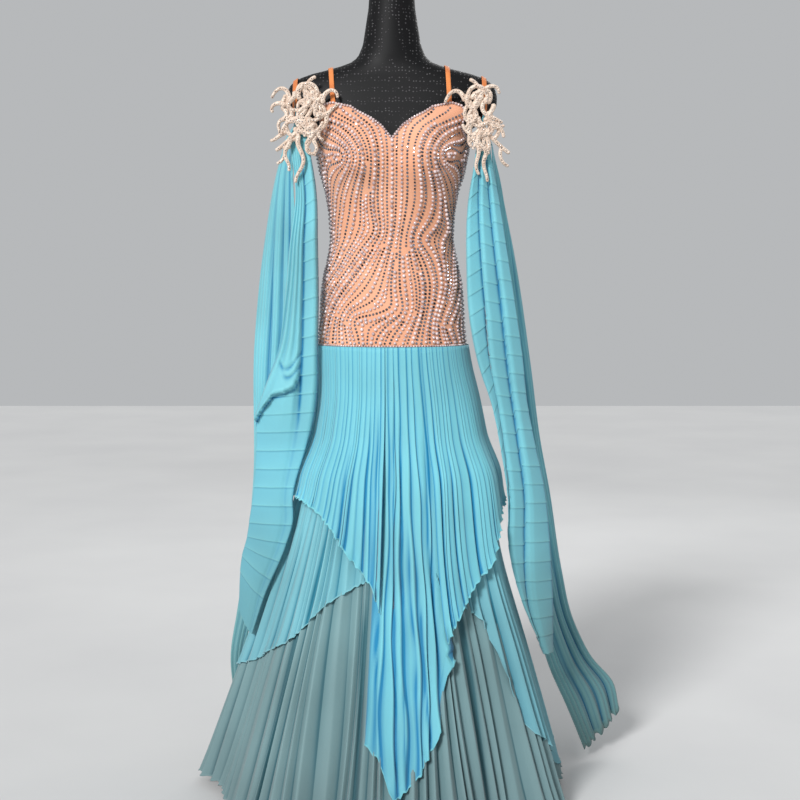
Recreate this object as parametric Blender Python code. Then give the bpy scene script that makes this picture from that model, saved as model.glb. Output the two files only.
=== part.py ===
"""Ballroom dance dress on a limbless dress form.

Metres, +Z up. The origin is the centre of the underside of the stand's base, the front faces -Y,
and left and right are the sides seen from the front. Every cloth piece is a thin wall.
"""
from math import atan2, cos, degrees, exp, pi, radians, sin

import bmesh
import bpy
from mathutils import Vector
from mathutils.bvhtree import BVHTree

# Heights of the garment
HIP_SEAM_Z = 0.900
SIDE_TOP_Z = 1.300
BACK_TOP_Z = 1.235
CUP_TOP_Z = 1.374
NECKLINE_V_Z = 1.303

# Walls and clearances
CLOTH = 0.0015
STRETCH_GAP = 0.0018
SEAM_GAP = 0.0004
SEAM_TURN = 0.003
RAY_START = 0.4
ROW_CLOSE = 0.0012
RESTING_GAP = 0.0017

# Stand
BASE_RADIUS = 0.150
BASE_HEIGHT = 0.014
POLE_RADIUS = 0.0125

# Straps and armbands
STRAP_WIDTH = 0.009
STRAP_STEPS = 22
BAND_WIDTH = 0.009
BAND_COLUMNS = 26
STRAP_CENTRE = (0.004, 1.330)
STUB_CENTRE = (0.0, 1.381)
BAND_X = {-1: 0.188, 1: 0.180}
BAND_EASE = 0.0006

# Pleats of the skirt, shared by all its layers so that they nest
PLEATS = 48
COLUMNS = 2 * PLEATS
COLUMN_DEGREES = 360 / COLUMNS
LAYER_STEP_TOP = 0.0018
LAYER_STEP_LOW = 0.0038
LAYER_SPREAD_DEPTH = 0.24
OVERLAY_LAYER = 3
OVERLAY_FLARE = 0.014
FLARE_TOP_Z = 0.730
FLARE_DEPTH = 0.090

# Bust
BUST_X = 0.070
BUST_Z = 1.262
BUST_RISE = 0.024
BUST_WIDTH = 0.046
BUST_HEIGHT = 0.050
CUP_PADDING = 0.15

# Rings of the form: height, half width, front depth, back depth, squareness
FORM_RINGS = [
    (0.765, 0.096, 0.066, 0.080, 2.0),
    (0.772, 0.118, 0.078, 0.094, 2.0),
    (0.800, 0.1330, 0.090, 0.106, 2.0),
    (0.850, 0.1400, 0.095, 0.111, 2.0),
    (0.900, 0.1430, 0.0965, 0.111, 2.0),
    (0.970, 0.1370, 0.0925, 0.101, 2.05),
    (1.024, 0.1335, 0.0890, 0.094, 2.1),
    (1.055, 0.1260, 0.0863, 0.089, 2.1),
    (1.110, 0.1157, 0.0830, 0.084, 2.1),
    (1.165, 0.1190, 0.0870, 0.088, 2.1),
    (1.205, 0.1265, 0.0925, 0.092, 2.1),
    (1.240, 0.1370, 0.0980, 0.096, 2.1),
    (1.285, 0.1460, 0.0970, 0.098, 2.1),
    (1.310, 0.1470, 0.0910, 0.098, 2.2),
    (1.326, 0.1560, 0.0860, 0.095, 2.3),
    (1.340, 0.1770, 0.0830, 0.092, 2.6),
    (1.354, 0.1960, 0.0790, 0.088, 2.9),
    (1.370, 0.2060, 0.0740, 0.084, 3.0),
    (1.390, 0.2070, 0.0680, 0.078, 3.0),
    (1.408, 0.2020, 0.0620, 0.072, 2.9),
    (1.422, 0.1880, 0.0570, 0.067, 2.7),
    (1.433, 0.1580, 0.0530, 0.063, 2.5),
    (1.443, 0.1180, 0.0510, 0.061, 2.3),
    (1.453, 0.0850, 0.0500, 0.060, 2.1),
    (1.466, 0.0670, 0.0500, 0.059, 2.0),
    (1.490, 0.0570, 0.0490, 0.057, 2.0),
    (1.560, 0.0460, 0.0460, 0.050, 2.0),
    (1.606, 0.0430, 0.0440, 0.047, 2.0),
    (1.614, 0.0400, 0.0410, 0.044, 2.0),
    (1.617, 0.0300, 0.0310, 0.034, 2.0),
]
FORM_COLUMNS = 36

# Skirt lining surface: height, reach left, right, front and back, pleat depth, large fold depth
SKIRT_LEVELS = [
    (0.8995, 0.1470, 0.1470, 0.1005, 0.1150, 0.0010, 0.000),
    (0.862, 0.1450, 0.1530, 0.1020, 0.1190, 0.0016, 0.000),
    (0.800, 0.1435, 0.1670, 0.1080, 0.1280, 0.0024, 0.001),
    (0.730, 0.1520, 0.1800, 0.1220, 0.1430, 0.0032, 0.002),
    (0.640, 0.1710, 0.1960, 0.1500, 0.1720, 0.0044, 0.004),
    (0.500, 0.2080, 0.2130, 0.1900, 0.2150, 0.0060, 0.007),
    (0.300, 0.2740, 0.2700, 0.2530, 0.2790, 0.0082, 0.011),
    (0.020, 0.3680, 0.3500, 0.3400, 0.3660, 0.0110, 0.016),
]
ROW_SQUEEZE = 0.0015

# Hems: degrees round the skirt from the front, height
MAIN_HEM = [(-180, 0.022), (180, 0.022)]
TIER_LEFT_HEM = [(-178, 0.330), (-150, 0.270), (-120, 0.230), (-90, 0.250), (-74, 0.285), (-47, 0.340),
                 (-28, 0.420), (-14, 0.460), (0, 0.480)]
TIER_RIGHT_HEM = [(20, 0.470), (38, 0.405), (45, 0.365), (49, 0.295), (52, 0.205), (60, 0.140), (74, 0.090),
                  (88, 0.045), (110, 0.090), (140, 0.180), (178, 0.260)]
CENTRE_HEM = [(-7, 0.170), (-3, 0.140), (-1, 0.095), (3, 0.100), (12, 0.145), (17, 0.180), (20, 0.220),
              (24, 0.300), (28, 0.340)]
OVERLAY_LEFT_HEM = [(-178, 0.420), (-150, 0.480), (-115, 0.590), (-89, 0.600), (-54, 0.598), (-39, 0.580),
                    (-28, 0.545), (-19, 0.500), (-10, 0.450), (-5, 0.415)]
OVERLAY_RIGHT_HEM = [(22, 0.350), (33, 0.405), (42, 0.450), (52, 0.485), (63, 0.550), (86, 0.585), (115, 0.590),
                     (150, 0.480), (178, 0.420)]

# Float sleeves: height, inner edge x and y, outer edge x and y; x is measured away from the centre
FLOAT_LEFT_BACK = [
    (1.300, 0.196, -0.026, 0.218, 0.058),
    (1.234, 0.194, -0.020, 0.236, 0.060),
    (1.100, 0.190, -0.012, 0.260, 0.066),
    (0.900, 0.186, -0.004, 0.282, 0.074),
    (0.600, 0.232, 0.020, 0.290, 0.096),
    (0.450, 0.262, 0.044, 0.308, 0.116),
    (0.330, 0.292, 0.070, 0.330, 0.134),
    (0.250, 0.312, 0.100, 0.346, 0.150),
    (0.190, 0.320, 0.125, 0.344, 0.165),
]
FLOAT_LEFT_FRONT = [
    (1.290, 0.160, -0.071, 0.196, -0.060),
    (1.200, 0.147, -0.072, 0.186, -0.063),
    (1.100, 0.145, -0.070, 0.198, -0.060),
    (1.000, 0.146, -0.068, 0.208, -0.056),
    (0.900, 0.151, -0.067, 0.222, -0.052),
    (0.820, 0.160, -0.064, 0.250, -0.046),
    (0.760, 0.172, -0.062, 0.268, -0.041),
    (0.700, 0.188, -0.060, 0.270, -0.040),
    (0.600, 0.222, -0.056, 0.278, -0.032),
    (0.500, 0.236, -0.050, 0.292, -0.027),
    (0.400, 0.266, -0.040, 0.306, -0.022),
    (0.320, 0.292, -0.034, 0.310, -0.022),
]
FLOAT_RIGHT_BACK = [
    (1.290, 0.196, -0.024, 0.204, 0.062),
    (1.070, 0.204, -0.002, 0.252, 0.088),
    (0.850, 0.213, 0.022, 0.288, 0.116),
    (0.700, 0.232, 0.042, 0.310, 0.140),
    (0.580, 0.246, 0.062, 0.334, 0.160),
    (0.400, 0.276, 0.092, 0.366, 0.190),
    (0.300, 0.304, 0.108, 0.390, 0.206),
    (0.205, 0.334, 0.122, 0.434, 0.218),
    (0.120, 0.372, 0.134, 0.480, 0.226),
    (0.022, 0.412, 0.142, 0.500, 0.232),
]
FLOAT_RIGHT_FRONT = [
    (1.290, 0.164, -0.069, 0.190, -0.058),
    (1.240, 0.157, -0.070, 0.196, -0.058),
    (1.200, 0.150, -0.070, 0.204, -0.057),
    (1.060, 0.145, -0.068, 0.228, -0.052),
    (0.950, 0.152, -0.066, 0.246, -0.047),
    (0.870, 0.168, -0.066, 0.258, -0.042),
    (0.780, 0.196, -0.066, 0.268, -0.037),
    (0.700, 0.216, -0.064, 0.284, -0.032),
    (0.600, 0.244, -0.058, 0.306, -0.027),
    (0.500, 0.252, -0.052, 0.318, -0.022),
    (0.400, 0.270, -0.046, 0.326, -0.017),
    (0.280, 0.306, -0.040, 0.328, -0.015),
]
BACK_FLOAT_PLEATS = 7
CROSS_PLEATS = 16
FRONT_FLOAT_COLUMNS = 4

# Where the floats' top edges are sewn round the bands: degrees from the back by the top to the front
BACK_FLOAT_TURNS = (250, 340)
FRONT_FLOAT_TURNS = (184, 214)
SEWN_GAP = 0.0009
FLOAT_PLEAT_DEPTH = 0.0040
CROSS_PLEAT_DEPTH = 0.0025

# Branching applique: the stem, then its fingers by their place along the stem
# Each has a heading, length and curl, in degrees and metres, and its start and end radius
APPLIQUE_CENTRE = {-1: (0.168, 1.330), 1: (0.172, 1.325)}
STEM_START = (-0.034, 0.070)
STEM = (-70, 0.165, 38, 0.0052, 0.0038)
APPLIQUE_FINGERS = [
    (0.03, 100, 0.066, -170, 0.0044, 0.0034),
    (0.12, 205, 0.050, 120, 0.0042, 0.0032),
    (0.20, 30, 0.082, 130, 0.0044, 0.0034),
    (0.36, -165, 0.060, 110, 0.0042, 0.0032),
    (0.46, 35, 0.070, -120, 0.0044, 0.0034),
    (0.60, -140, 0.072, -110, 0.0042, 0.0032),
    (0.72, 30, 0.058, 120, 0.0042, 0.0032),
    (0.86, -120, 0.050, 100, 0.0040, 0.0030),
]
FINGER_STEPS = 6
FINGER_SIDES = 5
APPLIQUE_Y = -0.0769

# Finishes: colour, roughness, metallic
FINISHES = {
    "nude_stretch": ((0.88, 0.47, 0.29), 0.62, 0.0),
    "nude_elastic": ((0.69, 0.19, 0.03), 0.55, 0.0),
    "stoned_motif": ((0.74, 0.62, 0.55), 0.30, 0.0),
    "blue_chiffon": ((0.19, 0.56, 0.71), 0.60, 0.0),
    "pale_chiffon": ((0.25, 0.56, 0.66), 0.60, 0.0),
    "form_black": ((0.008, 0.008, 0.009), 0.45, 0.0),
    "stand_metal": ((0.03, 0.03, 0.032), 0.35, 0.6),
}


def clear_scene():
    for item in list(bpy.data.objects):
        bpy.data.objects.remove(item, do_unlink=True)


def finish(name):
    """The named Principled material, made once."""
    found = bpy.data.materials.get(name)
    if found:
        return found
    colour, roughness, metallic = FINISHES[name]
    made = bpy.data.materials.new(name)
    made.use_nodes = True
    shader = made.node_tree.nodes["Principled BSDF"]
    shader.inputs["Base Color"].default_value = (*colour, 1.0)
    shader.inputs["Roughness"].default_value = roughness
    shader.inputs["Metallic"].default_value = metallic
    return made


def add_object(name, grid_mesh, finish_name):
    """A smooth-shaded object from a bmesh whose faces are turned outward."""
    bmesh.ops.recalc_face_normals(grid_mesh, faces=grid_mesh.faces)
    for face in grid_mesh.faces:
        face.smooth = True
    mesh = bpy.data.meshes.new(name)
    grid_mesh.to_mesh(mesh)
    grid_mesh.free()
    made = bpy.data.objects.new(name, mesh)
    bpy.context.scene.collection.objects.link(made)
    mesh.materials.append(finish(finish_name))
    return made


def between(table, key, column):
    """The value of a column where the table's first column, rising or falling, equals key."""
    rows = sorted(table)
    if key <= rows[0][0]:
        return rows[0][column]
    for low, high in zip(rows, rows[1:]):
        if key <= high[0]:
            share = (key - low[0]) / (high[0] - low[0])
            return low[column] + share * (high[column] - low[column])
    return rows[-1][column]


def loft(rings, closed_ends):
    """A bmesh skinned over rings of points, each ring joined into a loop."""
    built = bmesh.new()
    loops = [[built.verts.new(point) for point in ring] for ring in rings]
    count = len(rings[0])
    for low, high in zip(loops, loops[1:]):
        for i in range(count):
            j = (i + 1) % count
            built.faces.new((low[i], low[j], high[j], high[i]))
    if closed_ends:
        built.faces.new(loops[0])
        built.faces.new(loops[-1])
    return built


def wall(outer, inner, round_body):
    """A closed thin wall between two grids of points, given as rows from top to hem.

    round_body joins each row's last point to its first, which makes a tube.
    """
    built = bmesh.new()
    sheets = [[[built.verts.new(point) for point in row] for row in grid] for grid in (outer, inner)]
    rows = len(outer)
    columns = len(outer[0])
    steps = columns if round_body else columns - 1
    for sheet in sheets:
        for r in range(rows - 1):
            for c in range(steps):
                d = (c + 1) % columns
                built.faces.new((sheet[r][c], sheet[r][d], sheet[r + 1][d], sheet[r + 1][c]))
    for r in (0, rows - 1):
        for c in range(steps):
            d = (c + 1) % columns
            built.faces.new((sheets[0][r][c], sheets[0][r][d], sheets[1][r][d], sheets[1][r][c]))
    if not round_body:
        for c in (0, columns - 1):
            for r in range(rows - 1):
                built.faces.new((sheets[0][r][c], sheets[0][r + 1][c], sheets[1][r + 1][c], sheets[1][r][c]))
    return built


def bust(x, z):
    """How far the bust stands forward of the plain torso."""
    across = (abs(x) - BUST_X) / BUST_WIDTH
    along = (z - BUST_Z) / BUST_HEIGHT
    return BUST_RISE * exp(-(across * across + along * along))


def body_point(angle, z, out):
    """A point on the form at a height, pushed outward; the angle runs from the front to the right."""
    half, front, back, power = (between(FORM_RINGS, z, column) for column in (1, 2, 3, 4))
    side = sin(angle)
    ahead = cos(angle)
    depth = front if ahead > 0 else back
    x = (half + out) * abs(side) ** (2 / power) * (1 if side > 0 else -1)
    y = -(depth + out) * abs(ahead) ** (2 / power) * (1 if ahead > 0 else -1)
    if ahead > 0:
        y -= bust(x, z) * ahead * (1 + CUP_PADDING if out > 0 else 1)
    return Vector((x, y, z))


def build_form():
    rings = [[body_point(2 * pi * i / FORM_COLUMNS, row[0], 0) for i in range(FORM_COLUMNS)] for row in FORM_RINGS]
    return add_object("form_torso", loft(rings, True), "form_black")


def build_stand():
    profile = [(BASE_RADIUS - 0.003, 0.0), (BASE_RADIUS, 0.003), (BASE_RADIUS, 0.007), (BASE_RADIUS - 0.004, 0.010),
               (POLE_RADIUS + 0.010, BASE_HEIGHT), (POLE_RADIUS + 0.008, BASE_HEIGHT)]
    rings = [[Vector((r * cos(2 * pi * i / 32), r * sin(2 * pi * i / 32), z)) for i in range(32)] for r, z in profile]
    add_object("stand_base", loft(rings[:-1], True), "stand_metal")
    ends = (BASE_HEIGHT + SEAM_GAP, FORM_RINGS[0][0] - SEAM_GAP)
    rings = [[Vector((POLE_RADIUS * cos(pi * i / 8), POLE_RADIUS * sin(pi * i / 8), z)) for i in range(16)]
             for z in ends]
    add_object("stand_pole", loft(rings, True), "stand_metal")


def neckline(angle):
    """Height of the bodice's top edge: sweetheart cups in front, a lower plain back."""
    turn = abs(degrees(angle))
    front = [(0, NECKLINE_V_Z), (4, 1.322), (8, 1.344), (14, 1.366), (24, CUP_TOP_Z), (32, 1.368), (47, 1.339),
             (62, 1.320), (78, 1.307), (90, SIDE_TOP_Z)]
    back = [(90, SIDE_TOP_Z), (120, 1.262), (150, 1.240), (180, BACK_TOP_Z)]
    return between(front if turn <= 90 else back, turn, 1)


def build_bodice(name, first, last, columns):
    """A stretch panel between two angles in degrees, from the hip seam to the neckline.

    Its rows lie at the form's rings, and where the neckline is lower they close up under it.
    """
    angles = [radians(first + (last - first) * c / (columns - 1)) for c in range(columns)]
    angles[0] += SEAM_TURN
    angles[-1] -= SEAM_TURN
    tops = [neckline(angle) for angle in angles]
    levels = [HIP_SEAM_Z + SEAM_GAP] + [row[0] for row in FORM_RINGS if HIP_SEAM_Z < row[0] < max(tops) - 0.001]
    heights = [tops]
    for k, level in enumerate(reversed(levels)):
        heights.append([min(level, top - ROW_CLOSE * (k + 1)) for top in tops])
    outer = []
    inner = []
    for row in heights:
        inner.append([body_point(a, z, STRETCH_GAP) for a, z in zip(angles, row)])
        outer.append([body_point(a, z, STRETCH_GAP + CLOTH) for a, z in zip(angles, row)])
    return add_object(name, wall(outer, inner, False), "nude_stretch")


def skirt_point(turn, z, out):
    """A point of the skirt: degrees from the front, height, and distance out from the lining surface."""
    angle = radians(turn)
    side = sin(angle)
    ahead = cos(angle)
    left, right, front, back, pleat, fold = (between(SKIRT_LEVELS, z, column) for column in range(1, 7))
    reach = right if side > 0 else left
    depth = front if ahead > 0 else back
    normal = Vector((side / reach, -ahead / depth, 0)).normalized()
    column = round((turn + 180) / COLUMN_DEGREES)
    ridge = 1 if column % 2 else -1
    uneven = 1 + 0.35 * sin(2.3 * angle + 1) + 0.2 * sin(7.1 * angle)
    large = fold * (sin(7 * angle + 0.6) + 0.5 * sin(12 * angle + 2))
    return Vector((reach * side, -depth * ahead, z)) + normal * (out + ridge * pleat * uneven + large)


def layer_out(layer, z):
    """Distance of a nested layer's inside from the lining surface."""
    spread = min(1, (HIP_SEAM_Z - z) / LAYER_SPREAD_DEPTH)
    return layer * (LAYER_STEP_TOP + spread * (LAYER_STEP_LOW - LAYER_STEP_TOP))


def flare(layer, z):
    """How much further the top layer stands out near its points."""
    if layer < OVERLAY_LAYER:
        return 0
    return OVERLAY_FLARE * min(1, max(0, (FLARE_TOP_Z - z) / FLARE_DEPTH))


def build_layer(name, layer, first, last, hem, finish_name):
    """One pleated layer between two column numbers, from the hip seam to its hem.

    Its rows lie at the skirt's levels, so that layers nest, and close up over a higher hem.
    """
    turns = [column * COLUMN_DEGREES - 180 for column in range(first, last + 1)]
    hems = [between(hem, turn, 1) for turn in turns]
    levels = [row[0] for row in SKIRT_LEVELS if row[0] > min(hems) + ROW_SQUEEZE]
    heights = [[max(level, low + ROW_SQUEEZE * (len(levels) - k)) for low in hems] for k, level in enumerate(levels)]
    heights.append(hems)
    outer = []
    inner = []
    for row in heights:
        places = [(turn, z, layer_out(layer, z) + flare(layer, z)) for turn, z in zip(turns, row)]
        inner.append([skirt_point(turn, z, out) for turn, z, out in places])
        outer.append([skirt_point(turn, z, out + CLOTH) for turn, z, out in places])
    return add_object(name, wall(outer, inner, last - first == COLUMNS - 1), finish_name)


def column_at(turn):
    return round((turn + 180) / COLUMN_DEGREES)


def build_skirt():
    build_layer("skirt_main", 0, 0, COLUMNS - 1, MAIN_HEM, "pale_chiffon")
    build_layer("skirt_tier_left", 1, column_at(-177), column_at(-3), TIER_LEFT_HEM, "pale_chiffon")
    build_layer("skirt_tier_right", 1, column_at(22), column_at(177), TIER_RIGHT_HEM, "pale_chiffon")
    build_layer("skirt_centre_panel", 2, column_at(-10), column_at(26), CENTRE_HEM, "blue_chiffon")
    build_layer("skirt_overlay_left", OVERLAY_LAYER, column_at(-177), column_at(-6), OVERLAY_LEFT_HEM,
                "blue_chiffon")
    build_layer("skirt_overlay_right", OVERLAY_LAYER, column_at(22), column_at(177), OVERLAY_RIGHT_HEM,
                "blue_chiffon")


def band_reach(form, side, edge):
    """Distances from a band's centre to its inside, all round, at one edge of its width."""
    tree = surface_tree(form)
    middle = Vector((side * BAND_X[side] + edge, STUB_CENTRE[0], STUB_CENTRE[1]))
    reach = []
    for i in range(BAND_COLUMNS):
        way = band_way(360 * i / BAND_COLUMNS)
        reach.append((tree.ray_cast(middle + way * RAY_START, -way)[0] - middle).length)
    return [max(reach[i - 1], reach[i], reach[(i + 1) % BAND_COLUMNS]) + RESTING_GAP + BAND_EASE
            for i in range(BAND_COLUMNS)]


def band_way(turn):
    """The direction from a band's centre, in degrees from the back by the top to the front."""
    return Vector((0, cos(radians(turn)), sin(radians(turn))))


def build_armband(name, side, reaches):
    """An elastic band stretched round the shoulder end of the form."""
    faces = ([], [])
    for edge, reach in zip((-BAND_WIDTH / 2, BAND_WIDTH / 2), reaches):
        middle = Vector((side * BAND_X[side] + edge, STUB_CENTRE[0], STUB_CENTRE[1]))
        for sheet, up in zip(faces, (0, CLOTH)):
            sheet.append([middle + band_way(360 * i / BAND_COLUMNS) * (far + up) for i, far in enumerate(reach)])
    return add_object(name, wall(faces[1], faces[0], True), "nude_elastic")


def band_row(side, reaches, first, last, columns):
    """Points just outside a band, between two turns in degrees, where a float's top edge is sewn."""
    middle = Vector((side * BAND_X[side], STUB_CENTRE[0], STUB_CENTRE[1]))
    row = []
    for c in range(columns):
        turn = (first + (last - first) * c / (columns - 1)) % 360
        place = turn / 360 * BAND_COLUMNS
        low = int(place)
        share = place - low
        near = sum(reach[low] * (1 - share) + reach[(low + 1) % BAND_COLUMNS] * share for reach in reaches) / 2
        row.append(middle + band_way(turn) * (near + CLOTH + SEWN_GAP))
    return row


def float_row(rows, side, z):
    """Inner edge, outer edge and outward direction of a float sleeve at a height."""
    inner = Vector((side * between(rows, z, 1), between(rows, z, 2), z))
    outer = Vector((side * between(rows, z, 3), between(rows, z, 4), z))
    along = (outer - inner).normalized()
    away = Vector((along.y, -along.x, 0))
    if away.dot(Vector((side, -0.3, 0))) < 0:
        away = -away
    return inner, outer, away


def float_wall(name, inner_rows, outer_rows, finish_name):
    return add_object(name, wall(outer_rows, inner_rows, False), finish_name)


def build_float_back(name, rows, side, point, top):
    """A float with lengthwise pleats: a zigzag section below its gathered top, and a slanted hem.

    The hem rises or falls by the point's height from the inner to the outer edge.
    """
    columns = 2 * BACK_FLOAT_PLEATS + 1
    lifted = float_row(rows, side, rows[0][0])[2] * CLOTH
    sheets = ([top], [[place + lifted for place in top]])
    for row in rows:
        inner, outer, away = float_row(rows, side, row[0])
        depth = min(FLOAT_PLEAT_DEPTH, 0.35 * (outer - inner).length / columns)
        slant = point if row is rows[-1] else 0
        for sheet, lift in zip(sheets, (0, CLOTH)):
            sheet.append([inner.lerp(outer, c / (columns - 1)) + away * (lift + depth * (1 if c % 2 else -1))
                          + Vector((0, 0, slant * c / (columns - 1))) for c in range(columns)])
    return float_wall(name, sheets[0], sheets[1], "pale_chiffon")


def build_float_front(name, rows, side, top):
    """A float with crosswise pleats: a zigzag down its length and a soft bow across it."""
    columns = len(top)
    steps = 2 * CROSS_PLEATS
    lifted = float_row(rows, side, rows[0][0])[2] * CLOTH
    sheets = ([top], [[place + lifted for place in top]])
    for k in range(steps + 1):
        z = rows[0][0] + (rows[-1][0] - rows[0][0]) * k / steps
        inner, outer, away = float_row(rows, side, z)
        ridge = CROSS_PLEAT_DEPTH * (1 if k % 2 else -1)
        bow = 0.08 * (outer - inner).length
        for sheet, lift in zip(sheets, (0, CLOTH)):
            sheet.append([inner.lerp(outer, c / (columns - 1))
                          + away * (lift + ridge + bow * sin(pi * c / (columns - 1))) for c in range(columns)])
    return float_wall(name, sheets[0], sheets[1], "blue_chiffon")


def ribbon_on(tree, centres, directions, across, width):
    """Inner and outer rows of a ribbon laid on a surface, where rays toward each centre land."""
    faces = ([], [])
    for centre, direction in zip(centres, directions):
        hits = [tree.ray_cast(centre + across * edge + direction * RAY_START, -direction)[0]
                for edge in (-width / 2, width / 2)]
        for sheet, up in zip(faces, (RESTING_GAP, RESTING_GAP + CLOTH)):
            sheet.append([hit + direction * up for hit in hits])
    return faces


def surface_tree(item):
    graph = bpy.context.evaluated_depsgraph_get()
    return BVHTree.FromObject(item, graph)


def build_strap(name, form, front, shoulder, back):
    """A shoulder strap from the cup over the shoulder to the back's top edge, each given as x and z."""
    tree = surface_tree(form)
    middle = Vector((0, *STRAP_CENTRE))
    front_y = tree.ray_cast(Vector((front[0], -1, front[1])), Vector((0, 1, 0)))[0].y
    back_y = tree.ray_cast(Vector((back[0], 1, back[1])), Vector((0, -1, 0)))[0].y
    first = atan2(front[1] - middle.z, middle.y - front_y)
    last = atan2(back[1] - middle.z, middle.y - back_y)
    if last < 0:
        last += 2 * pi
    centres = []
    directions = []
    for k in range(STRAP_STEPS + 1):
        share = k / STRAP_STEPS
        x = front[0] + (shoulder - front[0]) * 2 * share
        if share > 0.5:
            x = shoulder + (back[0] - shoulder) * (2 * share - 1)
        angle = first + (last - first) * share
        centres.append(Vector((x, middle.y, middle.z)))
        directions.append(Vector((0, -cos(angle), sin(angle))))
    inner, outer = ribbon_on(tree, centres, directions, Vector((1, 0, 0)), STRAP_WIDTH)
    return add_object(name, wall(outer, inner, False), "nude_elastic")


def applique_point(side, u, v):
    """A point of the surface that the applique lies on, u away from the centre and v up."""
    x, z = APPLIQUE_CENTRE[side]
    away = x + u
    return Vector((side * away, APPLIQUE_Y + 2.2 * max(0, away - 0.150) ** 2, z + v))


def curl_path(start, heading, length, curl):
    """Places along a cord that turns evenly as it goes."""
    u, v = start
    places = [(u, v)]
    for k in range(FINGER_STEPS):
        bearing = radians(heading + curl * (k + 0.5) / FINGER_STEPS)
        u += length / FINGER_STEPS * cos(bearing)
        v += length / FINGER_STEPS * sin(bearing)
        places.append((u, v))
    return places


def cord_mesh(side, places, thick, thin):
    """A tapering cord of the applique, as a closed tube."""
    points = [applique_point(side, u, v) for u, v in places]
    rings = []
    for k, point in enumerate(points):
        ahead = (points[min(k + 1, FINGER_STEPS)] - points[max(k - 1, 0)]).normalized()
        across = ahead.cross(Vector((0, -1, 0))).normalized()
        front = across.cross(ahead).normalized()
        radius = thick + (thin - thick) * k / FINGER_STEPS
        if k in (0, FINGER_STEPS):
            radius *= 0.7
        turns = [2 * pi * i / FINGER_SIDES for i in range(FINGER_SIDES)]
        rings.append([point + across * radius * cos(turn) + front * radius * sin(turn) for turn in turns])
    return loft(rings, True)


def applique_cords(side):
    """The stem and the fingers that start on it, as closed tubes that overlap."""
    heading, length, curl, thick, thin = STEM
    stem = curl_path(STEM_START, heading, length, curl)
    cords = [cord_mesh(side, stem, thick, thin)]
    for share, heading, length, curl, thick, thin in APPLIQUE_FINGERS:
        place = share * FINGER_STEPS
        low = int(place)
        part = place - low
        start = [stem[low][axis] + part * (stem[low + 1][axis] - stem[low][axis]) for axis in (0, 1)]
        cords.append(cord_mesh(side, curl_path(start, heading, length, curl), thick, thin))
    return cords


def build_applique(name, side):
    """A branching motif: a stem and curling side fingers joined into one body."""
    pieces = [add_object(f"{name}_{k}", cord, "stoned_motif") for k, cord in enumerate(applique_cords(side))]
    stem = pieces[0]
    stem.name = name
    for piece in pieces[1:]:
        join = stem.modifiers.new("join", "BOOLEAN")
        join.operation = "UNION"
        join.solver = "EXACT"
        join.object = piece
    graph = bpy.context.evaluated_depsgraph_get()
    joined = bpy.data.meshes.new_from_object(stem.evaluated_get(graph))
    stem.modifiers.clear()
    stem.data = joined
    for piece in pieces[1:]:
        bpy.data.objects.remove(piece, do_unlink=True)
    return stem


def main():
    clear_scene()
    build_stand()
    form = build_form()
    build_bodice("bodice_front", -90, 90, FORM_COLUMNS // 2 + 1)
    build_bodice("bodice_back", 90, 270, FORM_COLUMNS // 2 + 1)
    build_strap("strap_left", form, (-0.112, 1.3765), -0.126, (-0.085, 1.262))
    build_strap("strap_right", form, (0.112, 1.3765), 0.104, (0.085, 1.262))
    for side, label, back_rows, front_rows, point in (
            (-1, "left", FLOAT_LEFT_BACK, FLOAT_LEFT_FRONT, -0.030),
            (1, "right", FLOAT_RIGHT_BACK, FLOAT_RIGHT_FRONT, 0.060)):
        reaches = [band_reach(form, side, edge) for edge in (-BAND_WIDTH / 2, BAND_WIDTH / 2)]
        build_armband(f"armband_{label}", side, reaches)
        build_applique(f"applique_{label}", side)
        back_top = band_row(side, reaches, *BACK_FLOAT_TURNS, 2 * BACK_FLOAT_PLEATS + 1)
        build_float_back(f"float_{label}_back", back_rows, side, point, back_top)
        front_top = band_row(side, reaches, *FRONT_FLOAT_TURNS, FRONT_FLOAT_COLUMNS)
        build_float_front(f"float_{label}_front", front_rows, side, front_top)
    build_skirt()


main()
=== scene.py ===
"""Looks of a ballroom dance dress on a limbless dress form.

Metres, +Z up, the front faces -Y. Left and right are the picture's sides. The sizes repeat those
of the CAD source, so each cloth piece lies where its solid does.
"""
from itertools import product
from math import cos, pi, radians, sin

import bmesh
import bpy
import numpy as np
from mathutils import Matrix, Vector
from mathutils.bvhtree import BVHTree


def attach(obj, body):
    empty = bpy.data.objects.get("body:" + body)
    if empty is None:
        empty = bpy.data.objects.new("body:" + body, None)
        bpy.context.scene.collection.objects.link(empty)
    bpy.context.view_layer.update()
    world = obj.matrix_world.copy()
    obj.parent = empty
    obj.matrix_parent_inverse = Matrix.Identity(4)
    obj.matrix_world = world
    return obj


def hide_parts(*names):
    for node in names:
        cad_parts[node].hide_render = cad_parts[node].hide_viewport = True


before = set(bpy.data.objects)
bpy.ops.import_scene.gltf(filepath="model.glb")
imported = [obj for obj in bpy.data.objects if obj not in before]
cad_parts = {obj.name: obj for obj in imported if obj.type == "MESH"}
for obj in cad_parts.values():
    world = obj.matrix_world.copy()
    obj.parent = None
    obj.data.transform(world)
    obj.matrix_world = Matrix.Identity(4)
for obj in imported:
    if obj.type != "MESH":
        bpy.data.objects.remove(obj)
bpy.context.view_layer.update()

# Sizes shared with the CAD source
HIP_SEAM_Z = 0.900
NECKLINE_V_Z = 1.303
CUP_TOP_Z = 1.374
SIDE_TOP_Z = 1.300
BACK_TOP_Z = 1.235
STRETCH_GAP = 0.0018
STRETCH_CLOTH = 0.0015
BUST_X = 0.070
BUST_Z = 1.262
BUST_RISE = 0.024
BUST_WIDTH = 0.046
BUST_HEIGHT = 0.050
CUP_PADDING = 0.15
BAND_X = {-1: 0.188, 1: 0.180}
BAND_Z = 1.381
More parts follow.
